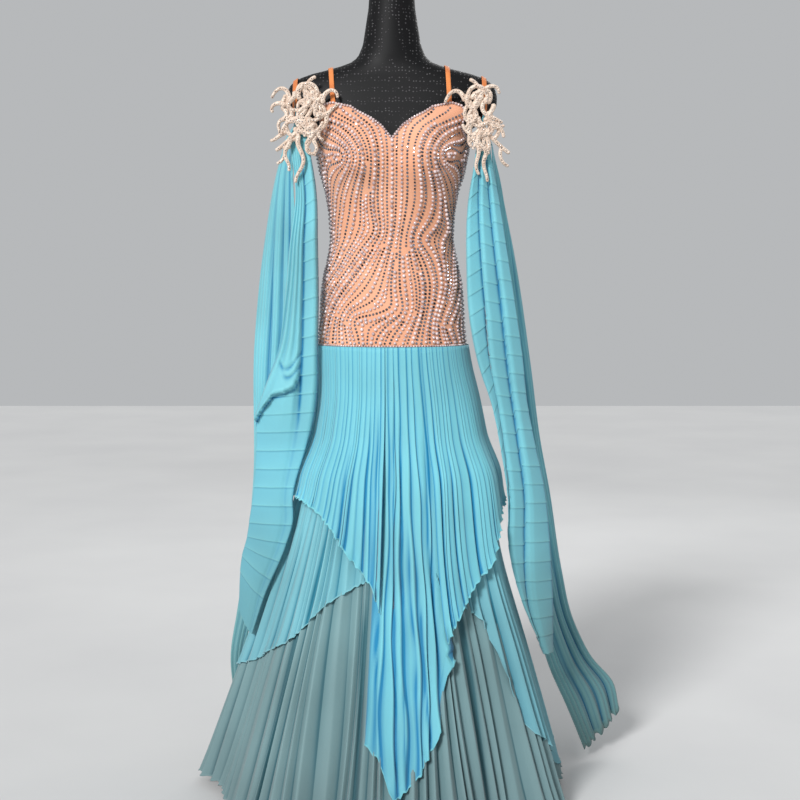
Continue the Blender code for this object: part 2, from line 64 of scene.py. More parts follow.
BAND_WIDTH = 0.009
BAND_EASE = 0.0024
STRAP_WIDTH = 0.009
ELASTIC_CLOTH = 0.0014

# Rings of the form: height, half width, front depth, back depth, squareness
FORM_RINGS = [
    (0.765, 0.096, 0.066, 0.080, 2.0),
    (0.772, 0.118, 0.078, 0.094, 2.0),
    (0.800, 0.1330, 0.090, 0.106, 2.0),
    (0.850, 0.1400, 0.095, 0.111, 2.0),
    (0.900, 0.1430, 0.0965, 0.111, 2.0),
    (0.970, 0.1370, 0.0925, 0.101, 2.05),
    (1.024, 0.1335, 0.0890, 0.094, 2.1),
    (1.055, 0.1260, 0.0863, 0.089, 2.1),
    (1.110, 0.1157, 0.0830, 0.084, 2.1),
    (1.165, 0.1190, 0.0870, 0.088, 2.1),
    (1.205, 0.1265, 0.0925, 0.092, 2.1),
    (1.240, 0.1370, 0.0980, 0.096, 2.1),
    (1.285, 0.1460, 0.0970, 0.098, 2.1),
    (1.310, 0.1470, 0.0910, 0.098, 2.2),
    (1.326, 0.1560, 0.0860, 0.095, 2.3),
    (1.340, 0.1770, 0.0830, 0.092, 2.6),
    (1.354, 0.1960, 0.0790, 0.088, 2.9),
    (1.370, 0.2060, 0.0740, 0.084, 3.0),
    (1.390, 0.2070, 0.0680, 0.078, 3.0),
    (1.408, 0.2020, 0.0620, 0.072, 2.9),
    (1.422, 0.1880, 0.0570, 0.067, 2.7),
    (1.433, 0.1580, 0.0530, 0.063, 2.5),
    (1.443, 0.1180, 0.0510, 0.061, 2.3),
    (1.453, 0.0850, 0.0500, 0.060, 2.1),
    (1.466, 0.0670, 0.0500, 0.059, 2.0),
    (1.490, 0.0570, 0.0490, 0.057, 2.0),
    (1.560, 0.0460, 0.0460, 0.050, 2.0),
    (1.606, 0.0430, 0.0440, 0.047, 2.0),
    (1.614, 0.0400, 0.0410, 0.044, 2.0),
    (1.617, 0.0300, 0.0310, 0.034, 2.0),
]

# Skirt lining surface: height, reach left, right, front and back, pleat depth, large fold depth
SKIRT_LEVELS = [
    (0.8995, 0.1470, 0.1470, 0.1005, 0.1150, 0.0010, 0.000),
    (0.862, 0.1450, 0.1530, 0.1020, 0.1190, 0.0016, 0.000),
    (0.800, 0.1435, 0.1670, 0.1080, 0.1280, 0.0024, 0.001),
    (0.730, 0.1520, 0.1800, 0.1220, 0.1430, 0.0032, 0.002),
    (0.640, 0.1710, 0.1960, 0.1500, 0.1720, 0.0044, 0.004),
    (0.500, 0.2080, 0.2130, 0.1900, 0.2150, 0.0060, 0.007),
    (0.300, 0.2740, 0.2700, 0.2530, 0.2790, 0.0082, 0.011),
    (0.020, 0.3680, 0.3500, 0.3400, 0.3660, 0.0110, 0.016),
]
SKIRT_TOP = 0.9018
LAYER_STEP_TOP = 0.0018
LAYER_STEP_LOW = 0.0038
LAYER_SPREAD_DEPTH = 0.24
OVERLAY_LAYER = 3
OVERLAY_FLARE = 0.014
FLARE_TOP_Z = 0.730
FLARE_DEPTH = 0.090
LOWER_PLEATS = 84
UPPER_PLEATS = 112
CENTRE_PLEATS = 72
PLEAT_DEPTH_SHARE = 50
LAYER_PLEAT_DEPTH = (1.0, 1.0, 0.50, 0.60)
RUFFLE_PITCH = 0.034
# One pleat's points across it: place, lift and shade, for accordion and for knife pleats
ACCORDION = [(0.0, -1.0, -0.9), (0.05, -0.84, -0.1), (0.27, 0.0, 0.1), (0.48, 0.92, 0.5),
             (0.53, 1.0, 1.0), (0.60, 0.78, 0.5), (0.80, 0.0, 0.2)]
KNIFE = [(0.0, -1.0, -1.0), (0.04, -0.92, -0.35), (0.28, -0.25, 0.30), (0.56, 0.55, 0.45),
         (0.72, 0.95, 0.75), (0.77, 1.0, 1.0), (0.88, 0.10, -0.45)]
CHIFFON = 0.0009
HEM_SHARE = 2.2

# Hems: degrees round the skirt from the front, height
HEMS = {
    "skirt_main": [(-180, 0.022), (180, 0.022)],
    "skirt_tier_left": [(-178, 0.330), (-150, 0.270), (-120, 0.230), (-90, 0.250), (-74, 0.285), (-47, 0.340),
                        (-28, 0.420), (-14, 0.460), (0, 0.480)],
    "skirt_tier_right": [(20, 0.470), (38, 0.405), (45, 0.365), (49, 0.295), (52, 0.205), (60, 0.140),
                         (74, 0.090), (88, 0.045), (110, 0.090), (140, 0.180), (178, 0.260)],
    "skirt_centre_panel": [(-7, 0.170), (-3, 0.140), (-1, 0.095), (3, 0.100), (12, 0.145), (17, 0.180),
                           (20, 0.220), (24, 0.300), (28, 0.340)],
    "skirt_overlay_left": [(-178, 0.420), (-150, 0.480), (-115, 0.590), (-89, 0.600), (-54, 0.598),
                           (-39, 0.580), (-28, 0.545), (-19, 0.500), (-10, 0.450), (-5, 0.415)],
    "skirt_overlay_right": [(22, 0.350), (33, 0.405), (42, 0.450), (52, 0.485), (63, 0.550), (86, 0.585),
                            (115, 0.590), (150, 0.480), (178, 0.420)],
}

# Float sleeves: height, inner edge x and y, outer edge x and y; x is measured away from the centre
FLOATS = {
    "float_left_back": [
        (1.300, 0.196, -0.026, 0.218, 0.058),
        (1.234, 0.194, -0.020, 0.236, 0.060),
        (1.100, 0.190, -0.012, 0.260, 0.066),
        (0.900, 0.186, -0.004, 0.282, 0.074),
        (0.600, 0.232, 0.020, 0.290, 0.096),
        (0.450, 0.262, 0.044, 0.308, 0.116),
        (0.330, 0.292, 0.070, 0.330, 0.134),
        (0.250, 0.312, 0.100, 0.346, 0.150),
        (0.190, 0.320, 0.125, 0.344, 0.165),
    ],
    "float_left_front": [
        (1.290, 0.160, -0.071, 0.196, -0.060),
        (1.200, 0.147, -0.072, 0.186, -0.063),
        (1.100, 0.145, -0.070, 0.198, -0.060),
        (1.000, 0.144, -0.068, 0.208, -0.056),
        (0.900, 0.146, -0.067, 0.222, -0.052),
        (0.820, 0.147, -0.064, 0.250, -0.046),
        (0.760, 0.154, -0.062, 0.268, -0.041),
        (0.700, 0.170, -0.060, 0.270, -0.040),
        (0.600, 0.196, -0.058, 0.278, -0.032),
        (0.555, 0.196, -0.056, 0.285, -0.030),
        (0.500, 0.2120, -0.050, 0.292, -0.027),
        (0.400, 0.255, -0.040, 0.306, -0.022),
        (0.320, 0.282, -0.034, 0.310, -0.022),
    ],
    "float_right_back": [
        (1.290, 0.196, -0.024, 0.204, 0.062),
        (1.070, 0.204, -0.002, 0.252, 0.088),
        (0.850, 0.213, 0.022, 0.288, 0.116),
        (0.700, 0.232, 0.042, 0.310, 0.140),
        (0.580, 0.246, 0.062, 0.334, 0.160),
        (0.400, 0.276, 0.092, 0.366, 0.190),
        (0.300, 0.304, 0.108, 0.390, 0.206),
        (0.205, 0.334, 0.122, 0.434, 0.218),
        (0.120, 0.372, 0.134, 0.480, 0.226),
        (0.022, 0.412, 0.142, 0.500, 0.232),
    ],
    "float_right_front": [
        (1.290, 0.164, -0.069, 0.190, -0.058),
        (1.240, 0.157, -0.070, 0.196, -0.058),
        (1.200, 0.150, -0.070, 0.204, -0.057),
        (1.060, 0.145, -0.068, 0.228, -0.052),
        (0.950, 0.152, -0.066, 0.246, -0.047),
        (0.870, 0.168, -0.066, 0.258, -0.042),
        (0.780, 0.196, -0.066, 0.268, -0.037),
        (0.700, 0.212, -0.065, 0.284, -0.032),
        (0.600, 0.227, -0.062, 0.306, -0.027),
        (0.500, 0.232, -0.056, 0.318, -0.022),
        (0.400, 0.256, -0.048, 0.326, -0.017),
        (0.280, 0.306, -0.040, 0.328, -0.015),
    ],
}
BACK_FLOAT_TURNS = (250, 340)
FRONT_FLOAT_TURNS = (184, 214)
FLOAT_POINT = {-1: -0.030, 1: 0.060}
FLOAT_PLEATS = 13
# Pitch of the crosswise tucks, and the gap where a float is sewn to its armband
CROSS_PITCH = 0.037
SEWN_GAP = 0.0009

# Branching applique, as in the CAD source. The stem: heading, length and curl, then its radii.
# A finger: how far along the stem it starts, then the same.
APPLIQUE_CENTRE = {-1: (0.168, 1.330), 1: (0.172, 1.325)}
APPLIQUE_Y = -0.0769
STEM_START = (-0.034, 0.070)
STEM = (-70, 0.165, 38, 0.0052, 0.0038)
APPLIQUE_FINGERS = [
    (0.03, 100, 0.066, -170, 0.0044, 0.0034),
    (0.12, 205, 0.050, 120, 0.0042, 0.0032),
    (0.20, 30, 0.082, 130, 0.0044, 0.0034),
    (0.36, -165, 0.060, 110, 0.0042, 0.0032),
    (0.46, 35, 0.070, -120, 0.0044, 0.0034),
    (0.60, -140, 0.072, -110, 0.0042, 0.0032),
    (0.72, 30, 0.058, 120, 0.0042, 0.0032),
    (0.86, -120, 0.050, 100, 0.0040, 0.0030),
]
FINGER_STEPS = 24
FINGER_SIDES = 10
APPLIQUE_SHARE = (0.80, 0.86)
STRAND_STEPS = 16
STRAND_LAYERS = 4
LAYER_LIFT = 0.0018
STRAND_RADII = (0.0050, 0.0029)
STONE_PITCH = 0.0040
STONE_RADIUS = 0.0016
# Strands between the fingers: distance from the centre line, height, heading, length, curl, wriggle
STRANDS = {
    -1: [
        (0.132, 1.372, 70, 0.052, 190, 10), (0.150, 1.376, 112, 0.060, -200, 10),
        (0.178, 1.380, 66, 0.062, 190, 14), (0.196, 1.372, 100, 0.064, -170, 12),
        (0.206, 1.366, 60, 0.040, -170, 14), (0.140, 1.352, 196, 0.046, -80, 20),
        (0.124, 1.350, -40, 0.060, -70, 40), (0.142, 1.372, -84, 0.078, 20, 60),
        (0.160, 1.384, -70, 0.086, -30, 55), (0.176, 1.372, -108, 0.084, 34, 60),
        (0.196, 1.380, -60, 0.074, -50, 50), (0.210, 1.362, -96, 0.060, 44, 50),
        (0.150, 1.330, -20, 0.064, 60, 40), (0.190, 1.340, -166, 0.060, 60, 40),
        (0.168, 1.316, -96, 0.062, -24, 50), (0.186, 1.322, -84, 0.050, 40, 50),
        (0.180, 1.306, -98, 0.092, 22, 26), (0.196, 1.304, -82, 0.066, -12, 30),
        (0.206, 1.316, -44, 0.034, 30, 10), (0.150, 1.318, -112, 0.050, 40, 30),
        (0.134, 1.384, -100, 0.066, 50, 60), (0.186, 1.390, -88, 0.070, -44, 60),
        (0.168, 1.394, -96, 0.062, 60, 60), (0.204, 1.384, -112, 0.062, 60, 50),
        (0.150, 1.392, -60, 0.056, -80, 50), (0.160, 1.340, -72, 0.070, -30, 50),
    ],
    1: [
        (0.140, 1.376, 110, 0.058, 150, 12), (0.154, 1.380, 74, 0.054, -190, 12),
        (0.172, 1.380, 104, 0.058, -180, 10), (0.186, 1.372, 60, 0.052, 170, 16),
        (0.146, 1.384, -70, 0.082, -40, 50), (0.158, 1.388, -92, 0.094, 24, 50),
        (0.172, 1.388, -84, 0.096, -26, 46), (0.186, 1.382, -96, 0.090, 22, 46),
        (0.196, 1.366, -78, 0.064, -36, 40), (0.152, 1.346, -66, 0.070, -34, 44),
        (0.166, 1.342, -100, 0.072, 24, 46), (0.180, 1.340, -80, 0.076, -20, 44),
        (0.188, 1.336, -60, 0.036, 90, 12), (0.186, 1.352, -46, 0.034, 30, 8),
        (0.160, 1.312, -94, 0.080, 16, 24), (0.182, 1.308, -86, 0.090, -10, 26),
        (0.172, 1.316, -90, 0.060, 30, 36), (0.148, 1.330, -100, 0.044, 30, 20),
    ],
}

# Camera: place, degrees that it looks down, lens in millimetres
CAMERA_PLACE = (0.016, -3.0, 1.07)
CAMERA_DROP = 5.33
CAMERA_LENS = 67.5

# Bead rows: kind, radius and pitch along the row
ROW_SPACING = 0.0086
BEAD_ROWS = [("pearl", 0.0034, 0.0090), ("crystal", 0.0024, 0.0066), ("pearl", 0.0028, 0.0078),
             ("crystal", 0.0027, 0.0070)]
# Eddies of the bead rows: degrees from the front, height, strength
BEAD_EDDIES = [(-36, 1.268, 0.085), (40, 1.274, -0.085), (-34, 0.955, -0.050), (6, 0.975, 0.042),
               (48, 0.945, -0.036), (-74, 1.070, 0.030), (26, 1.110, -0.060), (-14, 1.125, 0.050),
               (78, 1.130, 0.026), (180, 1.020, 0.020), (128, 0.980, -0.016), (-128, 1.150, 0.016)]


# Surfaces
def curve(rows, column, keys):
    """A smooth curve through a column of a table, at keys of its first column."""
    table = np.array(sorted(rows), float)
    x = table[:, 0]
    y = table[:, column]
    slope = np.gradient(y, x) if len(x) > 2 else np.full(len(x), (y[-1] - y[0]) / (x[-1] - x[0]))
    keys = np.clip(keys, x[0], x[-1])
    low = np.clip(np.searchsorted(x, keys) - 1, 0, len(x) - 2)
    width = x[low + 1] - x[low]
    t = (keys - x[low]) / width
    return (y[low] * (2 * t ** 3 - 3 * t ** 2 + 1) + slope[low] * width * (t ** 3 - 2 * t ** 2 + t)
            + y[low + 1] * (3 * t ** 2 - 2 * t ** 3) + slope[low + 1] * width * (t ** 3 - t ** 2))


def straight(rows, column, keys):
    table = np.array(sorted(rows), float)
    return np.interp(keys, table[:, 0], table[:, column])


def body_surface(angle, z, out):
    """Points on the form or the bodice; the angle runs from the front to the right."""
    half, front, back, power = (straight(FORM_RINGS, column, z) for column in (1, 2, 3, 4))
    side = np.sin(angle)
    ahead = np.cos(angle)
    depth = np.where(ahead > 0, front, back)
    x = (half + out) * np.abs(side) ** (2 / power) * np.sign(side)
    y = -(depth + out) * np.abs(ahead) ** (2 / power) * np.sign(ahead)
    bump = np.exp(-((np.abs(x) - BUST_X) / BUST_WIDTH) ** 2 - ((z - BUST_Z) / BUST_HEIGHT) ** 2)
    padding = np.where(np.asarray(out) > 0, 1 + CUP_PADDING, 1)
    y = y - BUST_RISE * bump * np.maximum(ahead, 0) * padding
    return np.stack([x, y, z + 0 * x], axis=-1)


def neckline(angle):
    """Height of the bodice's top edge."""
    turn = np.abs((np.degrees(angle) + 180) % 360 - 180)
    front = [(0, NECKLINE_V_Z), (4, 1.322), (8, 1.344), (14, 1.366), (24, CUP_TOP_Z), (32, 1.368),
             (47, 1.339), (62, 1.320), (78, 1.307), (90, SIDE_TOP_Z)]
    back = [(90, SIDE_TOP_Z), (120, 1.262), (150, 1.240), (180, BACK_TOP_Z)]
    return np.where(turn <= 90, straight(front, 1, turn), straight(back, 1, turn))


def softstep(value, low, high):
    share = np.clip((value - low) / (high - low), 0, 1)
    return share * share * (3 - 2 * share)


def triangle_wave(phase):
    """A soft-edged zigzag between -1 and 1."""
    return np.arcsin(0.94 * np.sin(2 * pi * phase)) / np.arcsin(0.94)


def pleat_columns(u, count, profile, uneven=0.0):
    """Which pleat each column of a grid is in, with its lift and shade, for count whole pleats."""
    column = np.rint(u * count * len(profile)).astype(int)
    places, lifts, shades = (np.array(values) for values in zip(*profile))
    part = column % len(profile)
    across = column // len(profile) + places[part]
    ends = np.clip(np.minimum(across, count - across) / 2, 0, 1)
    across = across + uneven * ends * (0.22 * np.sin(1.9 * across) + 0.30 * np.sin(0.83 * across + 1))
    return across / count, lifts[part], shades[part]


def skirt_surface(turn, z, out, lift, shade, share, crinkle, grooves):
    """Points of a pleated skirt layer and their shade, from where each stands on its pleat."""
    fall = SKIRT_TOP - z
    loose = np.clip(fall / 0.3, 0, 1)
    angle = np.radians(turn)
    drift = 1.1 * np.sin(5.3 * angle + 4.0 * fall) + 0.8 * np.sin(13 * angle + 6.5 * fall + 1.3)
    drift = drift + crinkle * (0.6 * np.sin(9 * fall + 17 * angle) + 0.35 * np.sin(33 * fall - 31 * angle))
    turn = turn + drift * loose * np.clip((180 - np.abs(turn)) / 12, 0, 1) * np.minimum(1, share / 0.03)
    angle = np.radians(turn)
    side = np.sin(angle)
    ahead = np.cos(angle)
    left, right, front, back, pleat, fold = (curve(SKIRT_LEVELS, column, z) for column in range(1, 7))
    reach = np.where(side > 0, right, left)
    depth = np.where(ahead > 0, front, back)
    normal = np.stack([side / reach, -ahead / depth], axis=-1)
    normal /= np.linalg.norm(normal, axis=-1, keepdims=True)
    uneven = (1 + 0.30 * np.sin(2.3 * angle + 1) + 0.2 * np.sin(7.1 * angle)
              + 0.25 * np.sin(31 * angle + 6 * fall))
    large = fold * (np.sin(7 * angle + 0.6) + 0.5 * np.sin(12 * angle + 2))
    away = out + lift * pleat * uneven + large
    shade = 0.25 + (shade - 0.25) * (0.80 + 0.20 * loose) * np.clip(uneven, 0.4, 1.3)
    # each deep fold sinks in and is darkened with painted shade
    for place, width, deep, below in grooves:
        wander = 0.5 * np.sin(9 * fall + place) * width
        crease = np.exp(-((turn - place - wander) / width) ** 2) * softstep(below - z, 0, 0.16)
        away = away - deep * crease
        shade = shade - 1.7 * crease
    x = reach * side + normal[..., 0] * away
    y = -depth * ahead + normal[..., 1] * away
    return np.stack([x, y, z + 0 * side], axis=-1), shade


def layer_out(layer, z):
    """Distance of a layer from the lining surface, with the top layer's flare near its points."""
    spread = np.clip((HIP_SEAM_Z - z) / LAYER_SPREAD_DEPTH, 0, 1)
    out = layer * (LAYER_STEP_TOP + spread * (LAYER_STEP_LOW - LAYER_STEP_TOP)) + 0.0008
    if layer == OVERLAY_LAYER:
        out = out + OVERLAY_FLARE * softstep(FLARE_TOP_Z - z, 0, FLARE_DEPTH)
    return out


# Materials
def set_inputs(node, **values):
    """Sets a node's inputs, which are named with _ for a space."""
    for socket, value in values.items():
        node.inputs[socket.replace("_", " ")].default_value = value


def new_material(name, roughness, metallic=0.0, **sockets):
    made = bpy.data.materials.new(name)
    made.use_nodes = True
    shader = made.node_tree.nodes["Principled BSDF"]
    set_inputs(shader, Roughness=roughness, Metallic=metallic, **sockets)
    return made, made.node_tree.nodes, made.node_tree.links, shader


def add_node(nodes, kind, **values):
    node = nodes.new(f"ShaderNode{kind}")
    set_inputs(node, **values)
    return node


def add_ramp(nodes, links, source, *stops):
    """A colour that runs through stops of place and colour as source rises."""
    ramp = nodes.new("ShaderNodeValToRGB")
    elements = ramp.color_ramp.elements
    for element, (place, colour) in zip(elements, (stops[0], stops[-1])):
        element.position = place
        element.color = (*colour, 1)
    for place, colour in stops[1:-1]:
        elements.new(place).color = (*colour, 1)
    links.new(source, ramp.inputs["Fac"])
    return ramp.outputs["Color"]


def noise_between(nodes, links, scale, dark, light, detail=4.0):
    """A colour that drifts between two by noise on Object coordinates."""
    coords = nodes.new("ShaderNodeTexCoord")
    noise = add_node(nodes, "TexNoise", Scale=scale, Detail=detail)
    links.new(coords.outputs["Object"], noise.inputs["Vector"])
    return add_ramp(nodes, links, noise.outputs["Fac"], (0.32, dark), (0.68, light)), coords


def mix_colours(nodes, links, first, second, factor=1.0, blend="MIX"):
    """Two colours mixed; each of the three inputs is a value or another node's output."""
    mix = nodes.new("ShaderNodeMix")
    mix.data_type = "RGBA"
    mix.blend_type = blend
    for socket, value in (("Factor", factor), ("A", first), ("B", second)):
        if isinstance(value, bpy.types.NodeSocket):
            links.new(value, mix.inputs[socket])
        else:
            mix.inputs[socket].default_value = value
    return mix.outputs["Result"]


def add_bump(nodes, links, shader, height, strength, distance):
    bump = add_node(nodes, "Bump", Strength=strength, Distance=distance)
    links.new(height, bump.inputs["Height"])
    links.new(bump.outputs["Normal"], shader.inputs["Normal"])


def weave_bump(nodes, links, coords, shader, thread, strength):
    """Two crossed sets of fine threads as a bump."""
    joined = nodes.new("ShaderNodeMath")
    joined.operation = "ADD"
    for number, axis in enumerate(("X", "Z")):
        wave = add_node(nodes, "TexWave", Scale=0.314 / thread, Distortion=0.6)
        wave.wave_type = "BANDS"
        wave.bands_direction = axis
        links.new(coords.outputs["Object"], wave.inputs["Vector"])
        links.new(wave.outputs["Fac"], joined.inputs[number])
    add_bump(nodes, links, shader, joined.outputs["Value"], strength, 0.0003)


def chiffon(name, crease, painted_light, painted_low_shade):
    """Pleated chiffon: painted shade in the creases and on shaded pleat faces, painted light on lit faces,
    and painted shade darkening it towards the bottom.
    """
    made, nodes, links, shader = new_material(name, 0.62, Sheen_Weight=0.35, Sheen_Roughness=0.5)
    attribute = nodes.new("ShaderNodeAttribute")
    attribute.attribute_name = "painted_light"
    low, high = ([c + (r - c) * share for c, r in zip(crease, painted_light)] for share in (0.50, 0.82))
    # painted shade in the creases and on shaded pleat faces, painted light on the lit faces and edges
    pleats = add_ramp(nodes, links, attribute.outputs["Fac"],
                      (0.05, crease), (0.32, low), (0.60, high), (0.98, painted_light))
    cloudy, coords = noise_between(nodes, links, 5.0, (0.86, 0.86, 0.86), (1.06, 1.06, 1.06), 2.0)
    pleat_light_clouded = mix_colours(nodes, links, pleats, cloudy, blend="MULTIPLY")
    # painted shade: darker and greyer towards the bottom, where less light falls
    height = nodes.new("ShaderNodeSeparateXYZ")
    links.new(coords.outputs["Object"], height.inputs["Vector"])
    lower = add_node(nodes, "MapRange", From_Min=0.62, From_Max=0.05)
    links.new(height.outputs["Z"], lower.inputs["Value"])
    greyer = mix_colours(nodes, links, pleat_light_clouded, (*painted_low_shade, 1), blend="MULTIPLY")
    colour = mix_colours(nodes, links, pleat_light_clouded, greyer, lower.outputs["Result"])
    links.new(colour, shader.inputs["Base Color"])
    weave_bump(nodes, links, coords, shader, 0.0007, 0.25)
    # light passes through the cloth
    through = nodes.new("ShaderNodeBsdfTranslucent")
    links.new(colour, through.inputs["Color"])
    mixed = add_node(nodes, "MixShader", Fac=0.28)
    links.new(shader.outputs["BSDF"], mixed.inputs[1])
    links.new(through.outputs["BSDF"], mixed.inputs[2])
    links.new(mixed.outputs["Shader"], nodes["Material Output"].inputs["Surface"])
    return made


def drifting(name, roughness, noise, metallic=0.0, weave=None, **sockets):
    """A finish whose colour drifts by noise, woven where weave gives a thread and a strength."""
    made, nodes, links, shader = new_material(name, roughness, metallic, **sockets)
    colour, coords = noise_between(nodes, links, *noise)
    links.new(colour, shader.inputs["Base Color"])
    if weave:
        weave_bump(nodes, links, coords, shader, *weave)
    return made


def stoned_shell():
    """The form's black shell, set with small dark stones."""
    made, nodes, links, shader = new_material("form_black", 0.42, Specular_IOR_Level=0.2)
    coords = nodes.new("ShaderNodeTexCoord")
    cells = add_node(nodes, "TexVoronoi", Scale=150.0, Randomness=0.40)
    links.new(coords.outputs["Object"], cells.inputs["Vector"])
    dots = add_node(nodes, "MapRange", From_Min=0.27, From_Max=0.18)
    links.new(cells.outputs["Distance"], dots.inputs["Value"])
    stones = dots.outputs["Result"]
    colour = add_ramp(nodes, links, stones, (0.0, (0.003, 0.003, 0.0035)), (1.0, (0.075, 0.072, 0.075)))
    links.new(colour, shader.inputs["Base Color"])
    rough = add_node(nodes, "MapRange", To_Min=0.55, To_Max=0.16)
    links.new(stones, rough.inputs["Value"])
    links.new(rough.outputs["Result"], shader.inputs["Roughness"])
    add_bump(nodes, links, shader, stones, 0.6, 0.0012)
    return made


# each chiffon: colour of painted shade in its creases, colour of painted light on its lit faces, and a
# painted shade that darkens it towards the bottom
BLUE = chiffon("blue_chiffon", (0.001, 0.27, 0.52), (0.225, 0.675, 0.745), (0.70, 0.78, 0.82))
PALE = chiffon("pale_chiffon", (0.015, 0.25, 0.36), (0.24, 0.61, 0.68), (0.76, 0.72, 0.74))
GREY = chiffon("grey_chiffon", (0.03, 0.16, 0.20), (0.25, 0.44, 0.46), (0.72, 0.66, 0.66))
SLEEVE = chiffon("sleeve_chiffon", (0.001, 0.22, 0.44), (0.235, 0.65, 0.715), (0.54, 0.41, 0.37))
STRETCH = drifting("nude_stretch", 0.6, (9.0, (0.69, 0.315, 0.178), (0.78, 0.390, 0.238)),
                   weave=(0.0006, 0.3), Sheen_Weight=0.25)
ELASTIC = drifting("nude_elastic", 0.55, (30.0, (0.60, 0.16, 0.03), (0.76, 0.24, 0.05)),
                   weave=(0.0010, 0.5), Sheen_Weight=0.2)
PEARL, CREAM_PEARL = (
    drifting(name, 0.22, (60.0, dark, light, 1.0), Coat_Weight=0.6, Coat_Roughness=0.08)
    for name, dark, light in (("pearl", (0.40, 0.29, 0.29), (0.76, 0.62, 0.61)),
                              ("cream_pearl", (0.60, 0.45, 0.36), (0.90, 0.80, 0.70))))
CRYSTAL = drifting("crystal", 0.08, (90.0, (0.012, 0.018, 0.030), (0.26, 0.29, 0.35), 1.0), 0.5)
CORD = drifting("corded_lace", 0.45, (120.0, (0.56, 0.40, 0.30), (0.82, 0.68, 0.56)),
                weave=(0.0012, 0.6), Sheen_Weight=0.3)
FORM = stoned_shell()
METAL = drifting("stand_metal", 0.35, (40.0, (0.022, 0.022, 0.024), (0.04, 0.04, 0.042)), 0.6)


# Making pieces
def add_object(name, data):
    made = bpy.data.objects.new(name, data)
    bpy.context.scene.collection.objects.link(made)
    return made


def add_piece(name, mesh, material, nodes=()):
    piece = add_object(name, mesh)
    mesh.materials.append(material)
    mesh.shade_smooth()
    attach(piece, "root")
    if nodes:
        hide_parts(*nodes)
    return piece


def grid_mesh(name, columns, rows, place):
    """A grid whose points place() lays out from u across and v up, each from 0 to 1.

    place returns the points and, for each, its painted light and shade, which the finish turns into colour.
    """
    built = bmesh.new()
    built.loops.layers.uv.new("cloth")
    bmesh.ops.create_grid(built, x_segments=columns, y_segments=rows, size=1.0, calc_uvs=True)
    mesh = bpy.data.meshes.new(name)
    built.to_mesh(mesh)
    built.free()
    flat = np.empty(len(mesh.vertices) * 3, np.float32)
    mesh.vertices.foreach_get("co", flat)
    flat = flat.reshape(-1, 3).astype(float)
    points, painted_light = place((flat[:, 0] + 1) / 2, (flat[:, 1] + 1) / 2)
    mesh.vertices.foreach_set("co", points.astype(np.float32).ravel())
    attribute = mesh.attributes.new("painted_light", "FLOAT", "POINT")
    attribute.data.foreach_set("value", (painted_light * 0.5 + 0.5).astype(np.float32))
    mesh.update()
    return mesh, (flat[:, 1] + 1) / 2


def close_mesh(mesh, gap):
    """Merges the points that meet within gap and turns the faces outwards."""
    built = bmesh.new()
    built.from_mesh(mesh)
    bmesh.ops.remove_doubles(built, verts=built.verts, dist=gap)
    bmesh.ops.recalc_face_normals(built, faces=built.faces)
    built.to_mesh(mesh)
    built.free()


def thicken(piece, thickness, v=None):
    """Gives a cloth grid its thickness, with a thicker rolled edge along the hem where v is 0."""
    solid = piece.modifiers.new("thickness", "SOLIDIFY")
    solid.offset = 0.0
    solid.thickness = thickness
    if v is not None:
        solid.thickness = thickness * HEM_SHARE
        group = piece.vertex_groups.new(name="hem")
        group.add(np.flatnonzero(v >= 1e-6).tolist(), 1 / HEM_SHARE, "REPLACE")
        group.add(np.flatnonzero(v < 1e-6).tolist(), 1.0, "REPLACE")
        solid.vertex_group = "hem"
        solid.thickness_vertex_group = 0.0


def run_length(points):
    """How far along a line each of its points is."""
    return np.concatenate([[0], np.cumsum(np.linalg.norm(np.diff(points, axis=0), axis=1))])


def make_form():
    def place(u, v):
        low, high = FORM_RINGS[0][0], FORM_RINGS[-1][0]
        cap = 0.03
        z = low + (high - low) * np.clip((v - cap) / (1 - 2 * cap), 0, 1)
        points = body_surface(2 * pi * u, z, 0.0)
        shrink = np.clip(np.minimum(v, 1 - v) / cap, 0, 1)
        points[:, :2] *= shrink[:, None]
        return points, 0 * u

    mesh, _ = grid_mesh("dress_form", 88, 120, place)
    close_mesh(mesh, 0.00002)
    return add_piece("dress_form", mesh, FORM, ["form_torso"])


def make_bodice(name, first, last):
    """A stretch panel of the bodice between two turns in degrees."""
    low = HIP_SEAM_Z + 0.0004

    def place(u, v):
        angle = np.radians(first + (last - first) * u)
        z = low + (neckline(angle) - low) * v
        return body_surface(angle, z, STRETCH_GAP + STRETCH_CLOTH / 2), 0 * u

    mesh, _ = grid_mesh(name, 72, 60, place)
    piece = add_piece(f"{name}_cloth", mesh, STRETCH, [name])
    thicken(piece, STRETCH_CLOTH)


SKIRT_PIECES = {
    # layer, first and last turn, rows, pleats all round, crinkle, finish, flat width, length and area
    "skirt_main": (0, -180, 180, 54, LOWER_PLEATS, 0.0, "pale_chiffon", 2.75, 0.93, 2.05),
    "skirt_tier_left": (1, -179.6, -3, 44, LOWER_PLEATS, 0.0, "pale_chiffon", 0.98, 0.64, 0.52),
    "skirt_tier_right": (1, 22, 179.6, 50, LOWER_PLEATS, 0.0, "pale_chiffon", 1.00, 0.86, 0.62),
    "skirt_centre_panel": (2, -9, 26, 110, CENTRE_PLEATS, 1.0, "blue_chiffon", 0.26, 0.82, 0.15),
    "skirt_overlay_left": (3, -179.6, -5, 44, UPPER_PLEATS, 0.12, "blue_chiffon", 0.66, 0.48, 0.26),
    "skirt_overlay_right": (3, 22, 179.6, 48, UPPER_PLEATS, 0.12, "blue_chiffon", 0.62, 0.54, 0.27),
}
